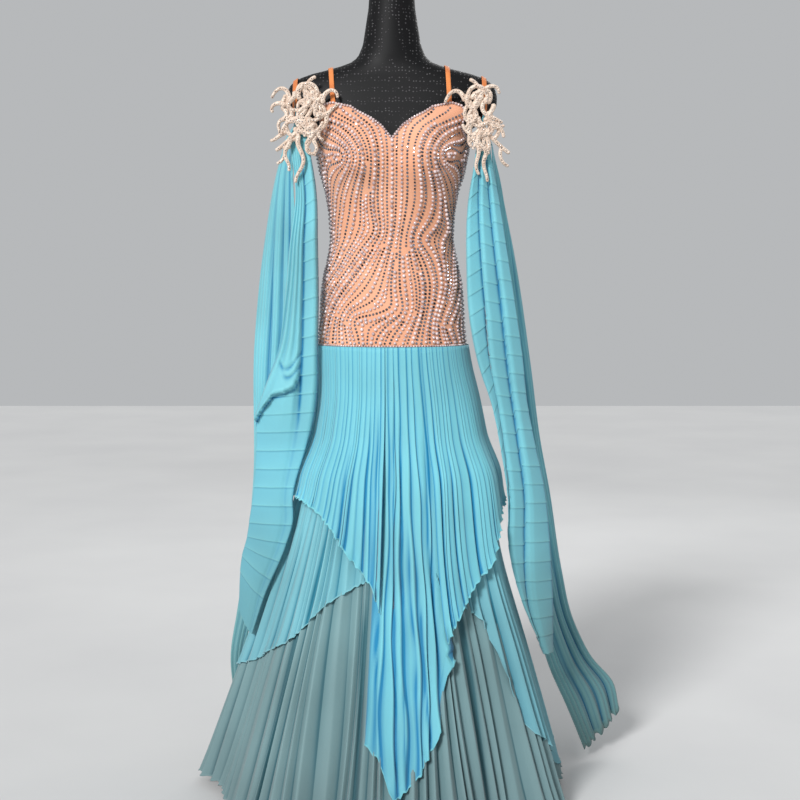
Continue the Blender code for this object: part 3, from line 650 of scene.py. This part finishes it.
# Deep soft folds, sunk in and darkened with painted shade: degrees from the front, width in degrees, depth,
# and the height they start below
GROOVES = {
    "skirt_main": [(-150, 1.6, 0.006, 0.6), (-44, 1.4, 0.005, 0.5), (-12, 1.3, 0.005, 0.5),
                   (34, 1.5, 0.006, 0.5), (110, 1.6, 0.006, 0.6)],
    "skirt_tier_left": [(-128, 1.5, 0.005, 0.6), (-60, 1.2, 0.004, 0.6), (-38, 1.2, 0.004, 0.6)],
    "skirt_tier_right": [(40, 0.9, 0.006, 0.55), (52, 1.0, 0.006, 0.5), (66, 1.2, 0.005, 0.5),
                         (120, 1.5, 0.006, 0.6)],
    "skirt_centre_panel": [(-5.6, 0.9, 0.004, 0.88), (1.2, 0.55, 0.004, 0.86), (4.6, 0.5, 0.004, 0.80),
                           (8.8, 0.7, 0.005, 0.62), (13.0, 0.5, 0.003, 0.55), (19.5, 0.8, 0.005, 0.80)],
    "skirt_overlay_left": [(-150, 1.6, 0.005, 0.8), (-70, 1.4, 0.003, 0.78), (-28, 0.8, 0.004, 0.76),
                           (-24, 0.8, 0.004, 0.74), (-15, 0.8, 0.004, 0.80), (-9, 0.9, 0.006, 0.84)],
    "skirt_overlay_right": [(26, 0.8, 0.004, 0.8), (33, 0.8, 0.003, 0.75), (46, 0.9, 0.004, 0.78),
                            (58, 0.9, 0.004, 0.7), (74, 1.0, 0.004, 0.76), (130, 1.6, 0.005, 0.8)],
}


def cover_height(name, turn):
    """Lowest hem of the layers that lie over a skirt piece, at each turn round it."""
    lowest = np.full(len(turn), 9.0)
    for other, (layer, first, last, *_) in SKIRT_PIECES.items():
        if layer > SKIRT_PIECES[name][0]:
            over = (turn > first + 0.8) & (turn < last - 0.8)
            lowest = np.where(over, np.minimum(lowest, curve(HEMS[other], 1, turn)), lowest)
    return lowest


def make_skirt():
    for name, piece_row in SKIRT_PIECES.items():
        layer, first, last, rows, pleats, crinkle, finish, width, length, area = piece_row
        profile = ACCORDION if layer < 2 else KNIFE
        count = round((last - first) * pleats / 360)
        closed = last - first == 360
        hem_row = HEMS[name]

        def place(u, v):
            across, lift, shade = pleat_columns(u, count, profile, 1.0)
            turn = first + (last - first) * across
            hem = curve(hem_row, 1, turn) if len(hem_row) > 2 else np.full(len(u), hem_row[0][1])
            # the lowest rows lie close together for the rolled edge
            row = np.rint(v * rows)
            rise = np.interp(row, (0, 1, 2, rows), (0, 0.002, 0.004, 1.0))
            z = np.where(row < 3, hem + rise, hem + 0.004 + rise * (SKIRT_TOP - hem - 0.004))
            near_hem = softstep(row, 5, 0)
            share = 1.0 + 0 * u if closed else np.minimum(u, 1 - u)
            ends = 0 * u if closed else np.exp(-np.minimum(turn - first, last - turn) / 5)
            lift = lift * PLEAT_DEPTH_SHARE / pleats * LAYER_PLEAT_DEPTH[layer]
            # the painted shade of the top layer's pleats is stronger towards its right side
            if layer == OVERLAY_LAYER:
                contrast = np.interp(turn, (-70, -18, -10, 24, 60), (0.75, 0.8, 1.1, 1.25, 1.0))
                shade = 0.3 + (shade - 0.3) * contrast
            wave = turn * 1.9 + 2 * np.sin(turn * 0.7) + 170 * hem
            flutter = near_hem * ((0.0030 + 0.006 * ends) * np.sin(wave) + 0.0018)
            # the long front panel's right edge curls in ruffles
            curl = softstep(u, 0.88, 1.0) * softstep(z, 0.36, 0.30) * (name == "skirt_centre_panel")
            ruffle = 2 * pi * z / RUFFLE_PITCH
            turn = turn + 2.4 * curl * np.sin(ruffle)
            out = layer_out(layer, z) + flutter + 0.011 * curl * (1 + np.sin(ruffle + 1.2))
            # a layer lies flatter under the ones over it
            covered = softstep(z - cover_height(name, turn), 0.008, 0.045)
            out = out - 0.003 * covered * softstep(z, 0.76, 0.66) * (layer == 0)
            lift = lift * (1 - 0.75 * covered)
            points, shade = skirt_surface(turn, z, out, lift, shade, share, crinkle, GROOVES[name])
            points[:, 2] += near_hem * (0.0016 + 0.005 * ends) * np.sin(turn * 2.6)
            # painted highlight on the two lowest rows, along the rolled hem
            return points, np.interp(row, (0, 1, 2), (1.4, 1.0, 0)) + np.where(row < 2, 0, shade)

        mesh, v = grid_mesh(name, count * len(profile), rows, place)
        material = BLUE if finish == "blue_chiffon" else PALE if "tier" in name else GREY
        piece = add_piece(f"{name}_cloth", mesh, material, [name])
        thicken(piece, CHIFFON, v)


def band_reach(tree, side, edge, turns):
    """Distances from a band's centre to the form, all round."""
    middle = Vector((side * BAND_X[side] + edge, 0, BAND_Z))
    reach = []
    for turn in turns:
        way = Vector((0, cos(radians(turn)), sin(radians(turn))))
        hit = tree.ray_cast(middle + way * 0.4, -way)[0]
        reach.append((hit - middle).length)
    return np.array(reach)


def band_ring(x, turn, far):
    """Points far from an armband's centre, by turn round it in degrees."""
    angle = np.radians(turn)
    return np.stack([x + 0 * turn, np.cos(angle) * far, BAND_Z + np.sin(angle) * far], axis=-1)


def float_points(rows, side, u, z):
    """Points across a float, from its inner to its outer edge, and its outward direction."""
    inner = np.stack([side * curve(rows, 1, z), curve(rows, 2, z)], axis=-1)
    outer = np.stack([side * curve(rows, 3, z), curve(rows, 4, z)], axis=-1)
    along = outer - inner
    width = np.linalg.norm(along, axis=-1)
    away = np.stack([along[:, 1], -along[:, 0]], axis=-1) / width[:, None]
    flip = np.where(away[:, 0] * side - 0.3 * away[:, 1] < 0, -1, 1)
    return inner + along * u[:, None], away * flip[:, None], width


# One crosswise tuck's rows, upward from its folded edge: place, lift and painted shade, with a painted
# highlight on the folded edge and a painted shade line just under the next tuck's edge
TUCK = [(0.0, 0.9, 1.25), (0.03, 1.0, 1.25), (0.07, 0.92, 0.55), (0.16, 0.78, 0.48),
        (0.28, 0.62, 0.44), (0.40, 0.48, 0.40), (0.52, 0.36, 0.38), (0.64, 0.25, 0.36),
        (0.76, 0.15, 0.36), (0.88, 0.06, 0.36), (0.97, 0.0, 0.05)]
TUCK_LIFT = 0.0012


def strip_folds(u, edges):
    """Lift and shade of lengthwise strips: each rises at its inner edge and slopes down to the next."""
    lift = np.zeros(len(u))
    shade = np.zeros(len(u))
    for low, high in zip(edges, edges[1:]):
        part = (u - low) / np.maximum(high - low, 0.02)
        here = (part >= 0) & (part < 1)
        rise = np.interp(part, (0, 0.10, 0.25, 0.85, 1), (-1, 0.8, 1, -0.2, -1))
        # painted light just inside each strip's raised inner edge, painted shade in the grooves between
        # strips
        tone = np.interp(part, (0, 0.05, 0.14, 0.80, 0.94, 1), (-1, 0.5, 0.75, 0.2, -1, -1))
        lift = np.where(here, rise, lift)
        shade = np.where(here, tone, shade)
    return lift, shade


# Lower edge of the left sleeve's swag: share of the way to the outer edge, height
SWAG = [(0, 0.852), (0.12, 0.822), (0.4, 0.812), (0.7, 0.806), (0.86, 0.780), (1, 0.750)]
# Creases in the swag: height where they start, drop, and how far out they run
SWAG_CREASES = [(0.892, 0.030, 0.90), (0.866, 0.022, 0.66)]


def left_front_folds(u, z, tuck_lift, tuck_shade):
    """The rolled inner strip, the swag that hangs from it, and the tucked panel under the swag."""
    strip = np.interp(z, (0.55, 0.75, 0.95, 1.20), (0.16, 0.26, 0.44, 0.55))
    lift, shade = strip_folds(u, [np.zeros(len(u)), strip, np.full(len(u), 1.3)])
    low_panel = softstep(z, 0.80, 0.70)
    lift = lift * (0.0060 - 0.0050 * low_panel)
    shade = shade * (1 - 0.75 * low_panel)
    beyond = np.clip((u - strip) / np.maximum(1 - strip, 0.1), 0, 1)
    outside = softstep(u, strip - 0.01, strip + 0.06)
    above = z - straight(SWAG, 1, beyond)
    body = softstep(above, -0.003, 0.003)
    swag = (0.017 * np.exp(-np.maximum(above, 0) / 0.036) * body - 0.002 * (1 - body)) * outside
    # painted shade along the swag's underside, and a painted highlight along its lower edge
    under = -1.5 * np.exp(-((above + 0.006) / 0.0045) ** 2) * outside
    painted_edge_highlight = 0.6 * np.exp(-((above - 0.005) / 0.004) ** 2) * outside
    # crescent creases over long folds that hang from the shoulder, each darkened with painted shade and given
    # a painted highlight along its upper edge
    for height, drop, end in SWAG_CREASES:
        crescent = height - drop * np.sin(pi * np.clip(beyond / end, 0, 1)) - 0.012 * beyond
        crease = np.exp(-((z - crescent) / 0.0050) ** 2) * softstep(beyond, end, end - 0.3) * outside
        edge = np.exp(-((z - crescent - 0.008) / 0.004) ** 2) * softstep(beyond, end, end - 0.2) * outside
        swag = swag - 0.0048 * crease
        under = under - 1.3 * crease
        painted_edge_highlight = painted_edge_highlight + 0.5 * edge
    folds = beyond * (2.2 + 5 * np.clip(above, 0, 0.25))
    gather = np.sin(2 * pi * folds) * outside * softstep(above, 0.015, 0.09)
    flat = np.where(u > strip, 1 - body, 1.0) * softstep(z, 0.35, 0.40)
    slant = (0.004 + 0.022 * softstep(z, 0.56, 0.42)) * u * softstep(z, 0.80, 0.72)
    lift = lift + swag + 0.0026 * gather + tuck_lift * flat
    # the swag's painted shade and highlights, the gathers painted lighter on their crests and darker in their
    # troughs, and the tucks' painted shade
    shade = shade + under + painted_edge_highlight + 0.5 * gather + (tuck_shade - 0.4) * flat
    return lift, shade, slant


def right_front_folds(u, z, tuck_lift, tuck_shade):
    """Three lengthwise strips with crosswise tucks, slanted on the inner one."""
    first = np.interp(z, (0.50, 0.77, 0.96, 1.25), (0.01, 0.14, 0.34, 0.36))
    second = np.interp(z, (0.30, 0.50, 0.77, 0.96, 1.25), (0.02, 0.38, 0.58, 0.70, 0.72))
    lift, shade = strip_folds(u, [np.full(len(u), -0.02), first, second, np.full(len(u), 1.08)])
    lift = lift * 0.0052 + tuck_lift
    # painted light and shade of the strips, with the tucks' painted highlights and shade lines
    shade = np.minimum(shade, 1) * 0.8 + tuck_shade - 0.45
    # the inner strip's tucks slant, and each strip's tucks miss the next one's
    slant = 0.026 * np.clip(u / np.maximum(first, 0.05), 0, 1) * (u < first) + 0.012 * (u > second)
    return lift, shade, slant * softstep(z, 0.40, 0.60)


# Deep folds of the back floats, darkened with painted shade: share of the way to the outer edge, width, depth
BACK_FOLDS = {-1: [(0.40, 0.045, 0.010), (0.66, 0.060, 0.006), (0.16, 0.050, 0.005)],
              1: [(0.34, 0.055, 0.008), (0.58, 0.045, 0.008), (0.80, 0.060, 0.009)]}


def back_folds(u, z, side):
    """Fine lengthwise pleats over a few deep soft folds."""
    # painted shade: the right float is darker all over, as the light falls from the left; crests are painted
    # lighter, troughs and deep folds darker
    ground, dark = (0.62, 1.4) if side < 0 else (0.40, 1.0)
    fine = triangle_wave(u * FLOAT_PLEATS + 0.30 * np.sin(5 * z + 4 * u) + 0.12 * np.sin(17 * z + 3 * u))
    lift = 0.0015 * fine * (0.7 + 0.5 * np.sin(9 * u + 2 * z))
    shade = ground + 0.50 * np.maximum(fine, 0) ** 2 - 0.55 * np.maximum(-fine, 0) ** 2
    for place, width, depth in BACK_FOLDS[side]:
        crease = np.exp(-((u - place - 0.03 * np.sin(6 * z + 9 * place)) / width) ** 2)
        lift = lift - depth * crease
        shade = shade - dark * crease
    return lift + 0.006 * np.sin(pi * u), shade


def make_floats(tree):
    turns = np.arange(0, 361, 6.0)
    for side, label in ((-1, "left"), (1, "right")):
        reach = sum(band_reach(tree, side, edge, turns) for edge in (-BAND_WIDTH / 2, BAND_WIDTH / 2)) / 2
        for part in ("back", "front"):
            make_float(f"float_{label}_{part}", side, turns, reach)


def make_float(name, side, turns, reach):
    rows = FLOATS[name]
    first_z = rows[0][0]
    hem_z = rows[-1][0]
    back = "back" in name
    sewn = BACK_FLOAT_TURNS if back else FRONT_FLOAT_TURNS
    point = FLOAT_POINT[side] if back else 0.0
    front_folds = left_front_folds if side < 0 else right_front_folds
    hem_wave, hem_waves = (0.005, 6) if back else (0.0012, 3)
    tucks = round((BAND_Z - 0.03 - hem_z) / CROSS_PITCH)

    def place(u, v):
        if not back:
            v, tuck_lift, tuck_shade = pleat_columns(v, tucks, TUCK)
            tuck_lift = tuck_lift * TUCK_LIFT
        sewn_turn = sewn[0] + (sewn[1] - sewn[0]) * u
        far = np.interp(sewn_turn, turns, reach) + BAND_EASE + 0.0015 + SEWN_GAP
        top = band_ring(side * BAND_X[side], sewn_turn, far)
        z = hem_z + (top[:, 2] - hem_z) * v
        across, away, width = float_points(rows, side, u, z)
        free = softstep(first_z + 0.02 - z, 0.0, 0.10)
        if back:
            lift, shade = back_folds(u, z, side)
            slant = 0
        else:
            lift, shade, slant = front_folds(u, z, tuck_lift, tuck_shade)
            lift = lift + 0.06 * width * np.sin(pi * u)
        narrow = np.clip(width / 0.05, 0.25, 1)
        across = across + away * (lift * free * narrow)[:, None]
        share = softstep(z, first_z, np.maximum(top[:, 2], first_z + 1e-4))
        flat = across * (1 - share)[:, None] + top[:, :2] * share[:, None]
        near_hem = np.clip(1 - v * 90, 0, 1)
        slant = slant * free * (1 - softstep(v, 0.12, 0.0)) + point * u * (1 - softstep(v, 0.0, 0.16))
        if name == "float_left_front":
            slant = slant + 0.050 * u ** 1.5 * (1 - softstep(v, 0.0, 0.20))
        slant = slant + hem_wave * near_hem * np.sin(2 * pi * u * hem_waves + 2 * u)
        # painted highlight along the hem
        shade = np.where(v < 1e-6, 1.4, shade)
        return np.stack([flat[:, 0], flat[:, 1], z + slant], axis=-1), shade

    columns, down_rows = (FLOAT_PLEATS * 8, 90) if back else (44, tucks * len(TUCK))
    mesh, v = grid_mesh(name, columns, down_rows, place)
    piece = add_piece(f"{name}_cloth", mesh, SLEEVE, [name])
    thicken(piece, CHIFFON, v)


def make_band(tree, side, label):
    turns = np.arange(0, 361, 5.0)
    edges = [band_reach(tree, side, edge, turns) for edge in (-BAND_WIDTH / 2, BAND_WIDTH / 2)]
    edges = [np.maximum(np.maximum(np.roll(e, 1), e), np.roll(e, -1)) + BAND_EASE for e in edges]

    def place(u, v):
        turn = 360 * u
        far = np.interp(turn, turns, edges[0]) * (1 - v) + np.interp(turn, turns, edges[1]) * v
        x = side * BAND_X[side] + BAND_WIDTH * (v - 0.5)
        return band_ring(x, turn, far), 0 * u

    mesh, _ = grid_mesh(f"armband_{label}", 120, 4, place)
    close_mesh(mesh, 0.00005)
    piece = add_piece(f"armband_{label}_elastic", mesh, ELASTIC, [f"armband_{label}"])
    thicken(piece, ELASTIC_CLOTH)


def make_strap(tree, label, front, shoulder, back):
    """A shoulder strap laid over the form from the cup to the back's top edge."""
    middle = Vector((0, 0.004, 1.330))
    steps = 90
    end_gap, gap = 0.0016, 0.0024
    front_y = tree.ray_cast(Vector((front[0], -1, front[1])), Vector((0, 1, 0)))[0].y
    back_y = tree.ray_cast(Vector((back[0], 1, back[1])), Vector((0, -1, 0)))[0].y
    first = np.arctan2(front[1] - middle.z, middle.y - front_y)
    last = np.arctan2(back[1] - middle.z, middle.y - back_y) % (2 * pi)
    share = np.linspace(0, 1, steps + 1)
    angles = first + (last - first) * share
    xs = np.interp(share, (0, 0.5, 1), (front[0], shoulder, back[0]))
    lines = []
    for edge in (-STRAP_WIDTH / 2, STRAP_WIDTH / 2):
        line = []
        for x, angle, share_here in zip(xs, angles, share):
            way = Vector((0, -cos(angle), sin(angle)))
            hit = tree.ray_cast(Vector((x + edge, middle.y, middle.z)) + way * 0.4, -way)[0]
            line.append(hit + way * (end_gap if min(share_here, 1 - share_here) < 0.05 else gap))
        lines.append(np.array(line))

    def place(u, v):
        low, high = (np.stack([np.interp(v, share, line[:, axis]) for axis in range(3)], axis=-1)
                     for line in lines)
        return low * (1 - u)[:, None] + high * u[:, None], 0 * u

    mesh, _ = grid_mesh(f"strap_{label}", 4, steps, place)
    piece = add_piece(f"strap_{label}_elastic", mesh, ELASTIC, [f"strap_{label}"])
    thicken(piece, ELASTIC_CLOTH)


# Beads
def bead_shape(kind):
    """One bead as points and triangles, unit radius, its flat back at z = 0."""
    built = bmesh.new()
    if kind == "pearl":
        bmesh.ops.create_icosphere(built, subdivisions=2, radius=1.0)
        hidden = [face for face in built.faces if face.calc_center_median().z < -0.55]
        bmesh.ops.delete(built, geom=hidden, context="FACES")
        bmesh.ops.translate(built, verts=built.verts, vec=(0, 0, 0.5))
    else:
        bmesh.ops.create_cone(built, cap_ends=True, cap_tris=True, segments=7,
                              radius1=1.0, radius2=0.5, depth=0.7)
        bmesh.ops.translate(built, verts=built.verts, vec=(0, 0, 0.35))
    bmesh.ops.triangulate(built, faces=built.faces)
    points = np.array([v.co for v in built.verts])
    faces = np.array([[v.index for v in f.verts] for f in built.faces])
    built.free()
    return points, faces


def lay_beads(name, kind, beads, material):
    """One mesh of many beads: each is a place, an outward direction and a radius."""
    shape, faces = bead_shape(kind)
    count = len(beads)
    places, normals, radii = (np.array(values) for values in zip(*beads))
    helper = np.where(np.abs(normals[:, 2:3]) < 0.9, [[0, 0, 1.0]], [[1.0, 0, 0]])
    first = np.cross(helper, normals)
    first /= np.linalg.norm(first, axis=1, keepdims=True)
    second = np.cross(normals, first)
    points = (places[:, None, :] + radii[:, None, None] * (
        shape[None, :, 0:1] * first[:, None, :] + shape[None, :, 1:2] * second[:, None, :]
        + shape[None, :, 2:3] * normals[:, None, :]))
    all_faces = (faces[None, :, :] + (np.arange(count) * len(shape))[:, None, None]).reshape(-1, 3)
    mesh = bpy.data.meshes.new(name)
    mesh.from_pydata(points.reshape(-1, 3).tolist(), [], all_faces.tolist())
    mesh.update()
    add_piece(name, mesh, material)
    if kind == "crystal":
        mesh.shade_flat()


class BodiceChart:
    """The bodice's outer surface as a table of points, looked up by turn and height."""

    def __init__(self):
        self.turns = np.radians(np.linspace(-180, 180, 241))
        self.heights = np.linspace(HIP_SEAM_Z, 1.39, 120)
        grid_turn, grid_z = np.meshgrid(self.turns, self.heights)
        self.points = body_surface(grid_turn.ravel(), grid_z.ravel(), STRETCH_GAP + STRETCH_CLOTH)
        self.points = self.points.reshape(len(self.heights), len(self.turns), 3)
        self.tops = neckline(self.turns)

    def inside(self, turn, z):
        turn = (turn + pi) % (2 * pi) - pi
        return HIP_SEAM_Z + 0.006 < z < np.interp(turn, self.turns, self.tops) - 0.005

    def at(self, turn, z):
        turn = (turn + pi) % (2 * pi)
        a = turn / (2 * pi) * (len(self.turns) - 1)
        b = (z - self.heights[0]) / (self.heights[1] - self.heights[0])
        i = min(int(a), len(self.turns) - 2)
        j = min(max(int(b), 0), len(self.heights) - 2)
        s = a - i
        t = b - j
        below, above = self.points[j], self.points[j + 1]
        return (below[i] * (1 - s) + below[i + 1] * s) * (1 - t) + (above[i] * (1 - s) + above[i + 1] * s) * t

    def frame(self, turn, z):
        """Place, side step per radian, up step per metre, and outward normal."""
        here = self.at(turn, z)
        side = (self.at(turn + 0.01, z) - self.at(turn - 0.01, z)) / 0.02
        up = (self.at(turn, z + 0.002) - self.at(turn, z - 0.002)) / 0.004
        normal = np.cross(side, up)
        return here, side, up, normal / np.linalg.norm(normal)


def row_direction(turn, z):
    """Which way a bead row runs at a place: up the body, bent round the eddies."""
    across = 0.12
    run = np.array([0.10, 1.0])
    for centre, height, strength in BEAD_EDDIES:
        dx = ((turn - radians(centre) + pi) % (2 * pi) - pi) * across
        dz = z - height
        run = run + strength * np.array([-dz, dx]) / (dx * dx + dz * dz + 0.0006)
    return run / np.linalg.norm(run)


def bead_rows(chart):
    """Evenly spaced rows that follow the flow over the bodice, each a list of (turn, height)."""
    step = 0.003
    placed = {}

    def key(point):
        return tuple(int(c) for c in np.floor(point / ROW_SPACING))

    def near(point, limit, own):
        x, y, z = key(point)
        return any(row != own and ((other - point) ** 2).sum() < limit * limit
                   for cell in product((x - 1, x, x + 1), (y - 1, y, y + 1), (z - 1, z, z + 1))
                   for row, other in placed.get(cell, ()))

    def trace(turn, z, sign, own):
        line = []
        start = None
        for _ in range(260):
            here, side, up, _ = chart.frame(turn, z)
            if near(here, 0.62 * ROW_SPACING, own):
                break
            if len(line) > 12 and ((here - start) ** 2).sum() < (0.5 * ROW_SPACING) ** 2:
                break
            start = here if start is None else start
            line.append((turn, z, here))
            run = row_direction(turn, z) * sign
            turn += step * run[0] / np.linalg.norm(side)
            z += step * run[1] / np.linalg.norm(up)
            if not chart.inside(turn, z):
                break
        return line

    rows = []
    seeds = [(0.0, 1.15, 0), (0.6, 1.0, 2), (-0.6, 1.25, 0), (3.0, 1.1, 0)]
    while seeds:
        turn, z, sort = seeds.pop(0)
        if not chart.inside(turn, z):
            continue
        here = chart.at(turn, z)
        if near(here, 0.94 * ROW_SPACING, None):
            continue
        own = len(rows)
        line = trace(turn, z, -1, own)[::-1][:-1] + trace(turn, z, 1, own)
        if len(line) < 5:
            continue
        rows.append((line, sort % len(BEAD_ROWS)))
        for turn, z, point in line:
            placed.setdefault(key(point), []).append((own, point))
        for k in range(0, len(line), 3):
            turn, z, _ = line[k]
            _, side, up, _ = chart.frame(turn, z)
            run = row_direction(turn, z)
            for sign in (-1, 1):
                seeds.append((turn + sign * ROW_SPACING * run[1] / np.linalg.norm(side),
                              z - sign * ROW_SPACING * run[0] / np.linalg.norm(up), sort + 1))
    return rows


def make_beads():
    chart = BodiceChart()
    beads = {"pearl": [], "crystal": []}
    for row, sort in bead_rows(chart):
        kind, radius, pitch = BEAD_ROWS[sort]
        points = np.array([p for _, _, p in row])
        run = run_length(points)
        for distance in np.arange(pitch * 0.3, run[-1], pitch):
            turn = np.interp(distance, run, np.unwrap([t for t, _, _ in row]))
            z = np.interp(distance, run, [z for _, z, _ in row])
            here, _, _, normal = chart.frame(turn, z)
            beads[kind].append((here, normal, radius))
    # edge rows along the neckline and the hip seam
    for edge_z, radius, pitch in ((None, 0.0027, 0.0058), (HIP_SEAM_Z + 0.0034, 0.0022, 0.0056)):
        turns = np.radians(np.linspace(-180, 180, 1441))
        heights = neckline(turns) - 0.0022 if edge_z is None else np.full(len(turns), edge_z)
        points = body_surface(turns, heights, STRETCH_GAP + STRETCH_CLOTH)
        run = run_length(points)
        for distance in np.arange(0, run[-1] - pitch / 2, pitch):
            turn = np.interp(distance, run, turns)
            here, _, _, normal = chart.frame(turn, np.interp(distance, run, heights))
            beads["pearl"].append((here, normal, radius))
    lay_beads("bodice_pearls", "pearl", beads["pearl"], PEARL)
    lay_beads("bodice_crystals", "crystal", beads["crystal"], CRYSTAL)


# Appliques
def curl_path(start, heading, length, curl, steps=FINGER_STEPS, wriggle=0.0):
    """A path that turns by curl degrees in all, and to and fro by wriggle degrees."""
    u, v = start
    places = [(u, v)]
    for k in range(steps):
        bearing = radians(heading + curl * (k + 0.5) / steps + wriggle * sin(2.4 * pi * k / steps + heading))
        u += length / steps * cos(bearing)
        v += length / steps * sin(bearing)
        places.append((u, v))
    return places


def applique_points(side, places):
    """Places on the surface that an applique lies on, u away from the centre and v up."""
    x, z = APPLIQUE_CENTRE[side]
    flat = np.array(places) * APPLIQUE_SHARE
    away = x + flat[:, 0]
    y = APPLIQUE_Y + 2.2 * np.maximum(0, away - 0.150) ** 2
    return np.stack([side * away, y, z + flat[:, 1]], axis=-1)


def cord_grid(points, thick, thin):
    """A tapering cord with round ends along points, as a grid wrapped round."""
    count = len(points) - 1
    ahead = np.gradient(points, axis=0)
    ahead /= np.linalg.norm(ahead, axis=1, keepdims=True)
    across = np.cross(ahead, np.array([0, -1.0, 0]))
    across /= np.linalg.norm(across, axis=1, keepdims=True)
    front = np.cross(across, ahead)

    def place(u, v):
        cap = 0.07
        along = np.clip((v - cap) / (1 - 2 * cap), 0, 1) * count
        low = np.clip(along.astype(int), 0, count - 1)
        t = (along - low)[:, None]
        centre = points[low] * (1 - t) + points[low + 1] * t
        side_way = across[low] * (1 - t) + across[low + 1] * t
        front_way = front[low] * (1 - t) + front[low + 1] * t
        radius = thick + (thin - thick) * along / count
        end = np.clip(np.minimum(v, 1 - v) / cap, 0, 1)
        reach = np.sqrt(1 - (1 - end) ** 2)
        bulge = (1 - end) * np.where(v < 0.5, -1, 1) * radius * 0.8
        turn = 2 * pi * u
        ahead_way = ahead[low] * (1 - t) + ahead[low + 1] * t
        ring = (side_way * (np.cos(turn) * radius * reach)[:, None]
                + front_way * (np.sin(turn) * radius * reach * 0.8)[:, None])
        return centre + ring + ahead_way * bulge[:, None], 0 * u

    return place


def make_applique(side, label):
    heading, length, curl, thick, thin = STEM
    stem = curl_path(STEM_START, heading, length, curl)
    cords = [(stem, thick, thin)]
    for share, heading, length, curl, thick, thin in APPLIQUE_FINGERS:
        start = stem[round(share * FINGER_STEPS)]
        cords.append((curl_path(start, heading, length, curl), thick, thin))
    centre = np.array(APPLIQUE_CENTRE[side])
    for away, z, heading, length, curl, wriggle in STRANDS[side]:
        start = (np.array([away, z]) - centre) / APPLIQUE_SHARE
        path = curl_path(start, heading, length / APPLIQUE_SHARE[1], curl, STRAND_STEPS, wriggle)
        cords.append((path, *STRAND_RADII))
    built = bmesh.new()
    stones = []
    for number, (places, thick, thin) in enumerate(cords):
        points = applique_points(side, places)
        points[:, 1] -= LAYER_LIFT * (number * 3 % STRAND_LAYERS)
        mesh, _ = grid_mesh("cord", FINGER_SIDES, len(places) + 5, cord_grid(points, thick, thin))
        built.from_mesh(mesh)
        bpy.data.meshes.remove(mesh)
        run = run_length(points)
        for distance in np.arange(0.002, run[-1], STONE_PITCH):
            place = np.array([np.interp(distance, run, points[:, axis]) for axis in range(3)])
            radius = np.interp(distance, (0, run[-1]), (thick, thin))
            stones.append((place + np.array([0, -radius * 0.62, 0]), np.array([0, -1.0, 0]), STONE_RADIUS))
    joined = bpy.data.meshes.new(f"applique_{label}")
    built.to_mesh(joined)
    built.free()
    close_mesh(joined, 0.00004)
    add_piece(f"applique_{label}_cords", joined, CORD, [f"applique_{label}"])
    pearls = [stone for k, stone in enumerate(stones) if k % 3]
    lay_beads(f"applique_{label}_pearls", "pearl", pearls, CREAM_PEARL)
    lay_beads(f"applique_{label}_crystals", "crystal", stones[::3], CRYSTAL)


# Room
def make_room():
    built = bmesh.new()
    bmesh.ops.create_grid(built, x_segments=1, y_segments=1, size=8.0)
    mesh = bpy.data.meshes.new("floor")
    built.to_mesh(mesh)
    built.free()
    floor = add_object("floor", mesh)
    mesh.materials.append(drifting("pale_floor", 0.7, (1.5, (0.56, 0.56, 0.56), (0.60, 0.60, 0.596))))
    world = bpy.data.worlds.new("studio")
    bpy.context.scene.world = world
    world.use_nodes = True
    set_inputs(world.node_tree.nodes["Background"], Color=(0.86, 0.88, 0.90, 1), Strength=0.55)
    bpy.context.scene.view_settings.view_transform = "Standard"
    for name, kind, place, aim, energy, size in (
            ("key", "SUN", (-1.6, -3.24, 2.3), (0, 0, 0.2), 3.4, 0.25),
            ("fill", "AREA", (2.8, -2.6, 1.6), (0, 0, 0.8), 6, 2.0),
            ("rim", "AREA", (0.8, 2.8, 2.6), (0, 0, 1.0), 25, 2.0)):
        data = bpy.data.lights.new(name, kind)
        data.energy = energy
        if kind == "SUN":
            data.angle = size
        else:
            data.size = size
        lamp = add_object(name, data)
        lamp.location = place
        lamp.rotation_euler = (Vector(aim) - Vector(place)).to_track_quat("-Z", "Y").to_euler()


def make_camera():
    data = bpy.data.cameras.new("photo_camera")
    data.lens = CAMERA_LENS
    data.sensor_width = 36.0
    camera = add_object("photo_camera", data)
    camera.location = CAMERA_PLACE
    camera.rotation_euler = (radians(90 - CAMERA_DROP), 0, 0)
    bpy.context.scene.camera = camera


make_camera()
make_room()
form = make_form()
form_tree = BVHTree.FromObject(form, bpy.context.evaluated_depsgraph_get())
for node in ("stand_base", "stand_pole"):
    for material_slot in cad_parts[node].material_slots:
        material_slot.material = METAL
make_bodice("bodice_front", -89.9, 89.9)
make_bodice("bodice_back", 90.1, 269.9)
make_strap(form_tree, "left", (-0.112, 1.362), -0.126, (-0.085, 1.252))
make_strap(form_tree, "right", (0.112, 1.362), 0.104, (0.085, 1.252))
for side, label in ((-1, "left"), (1, "right")):
    make_band(form_tree, side, label)
    make_applique(side, label)
make_floats(form_tree)
make_skirt()
make_beads()
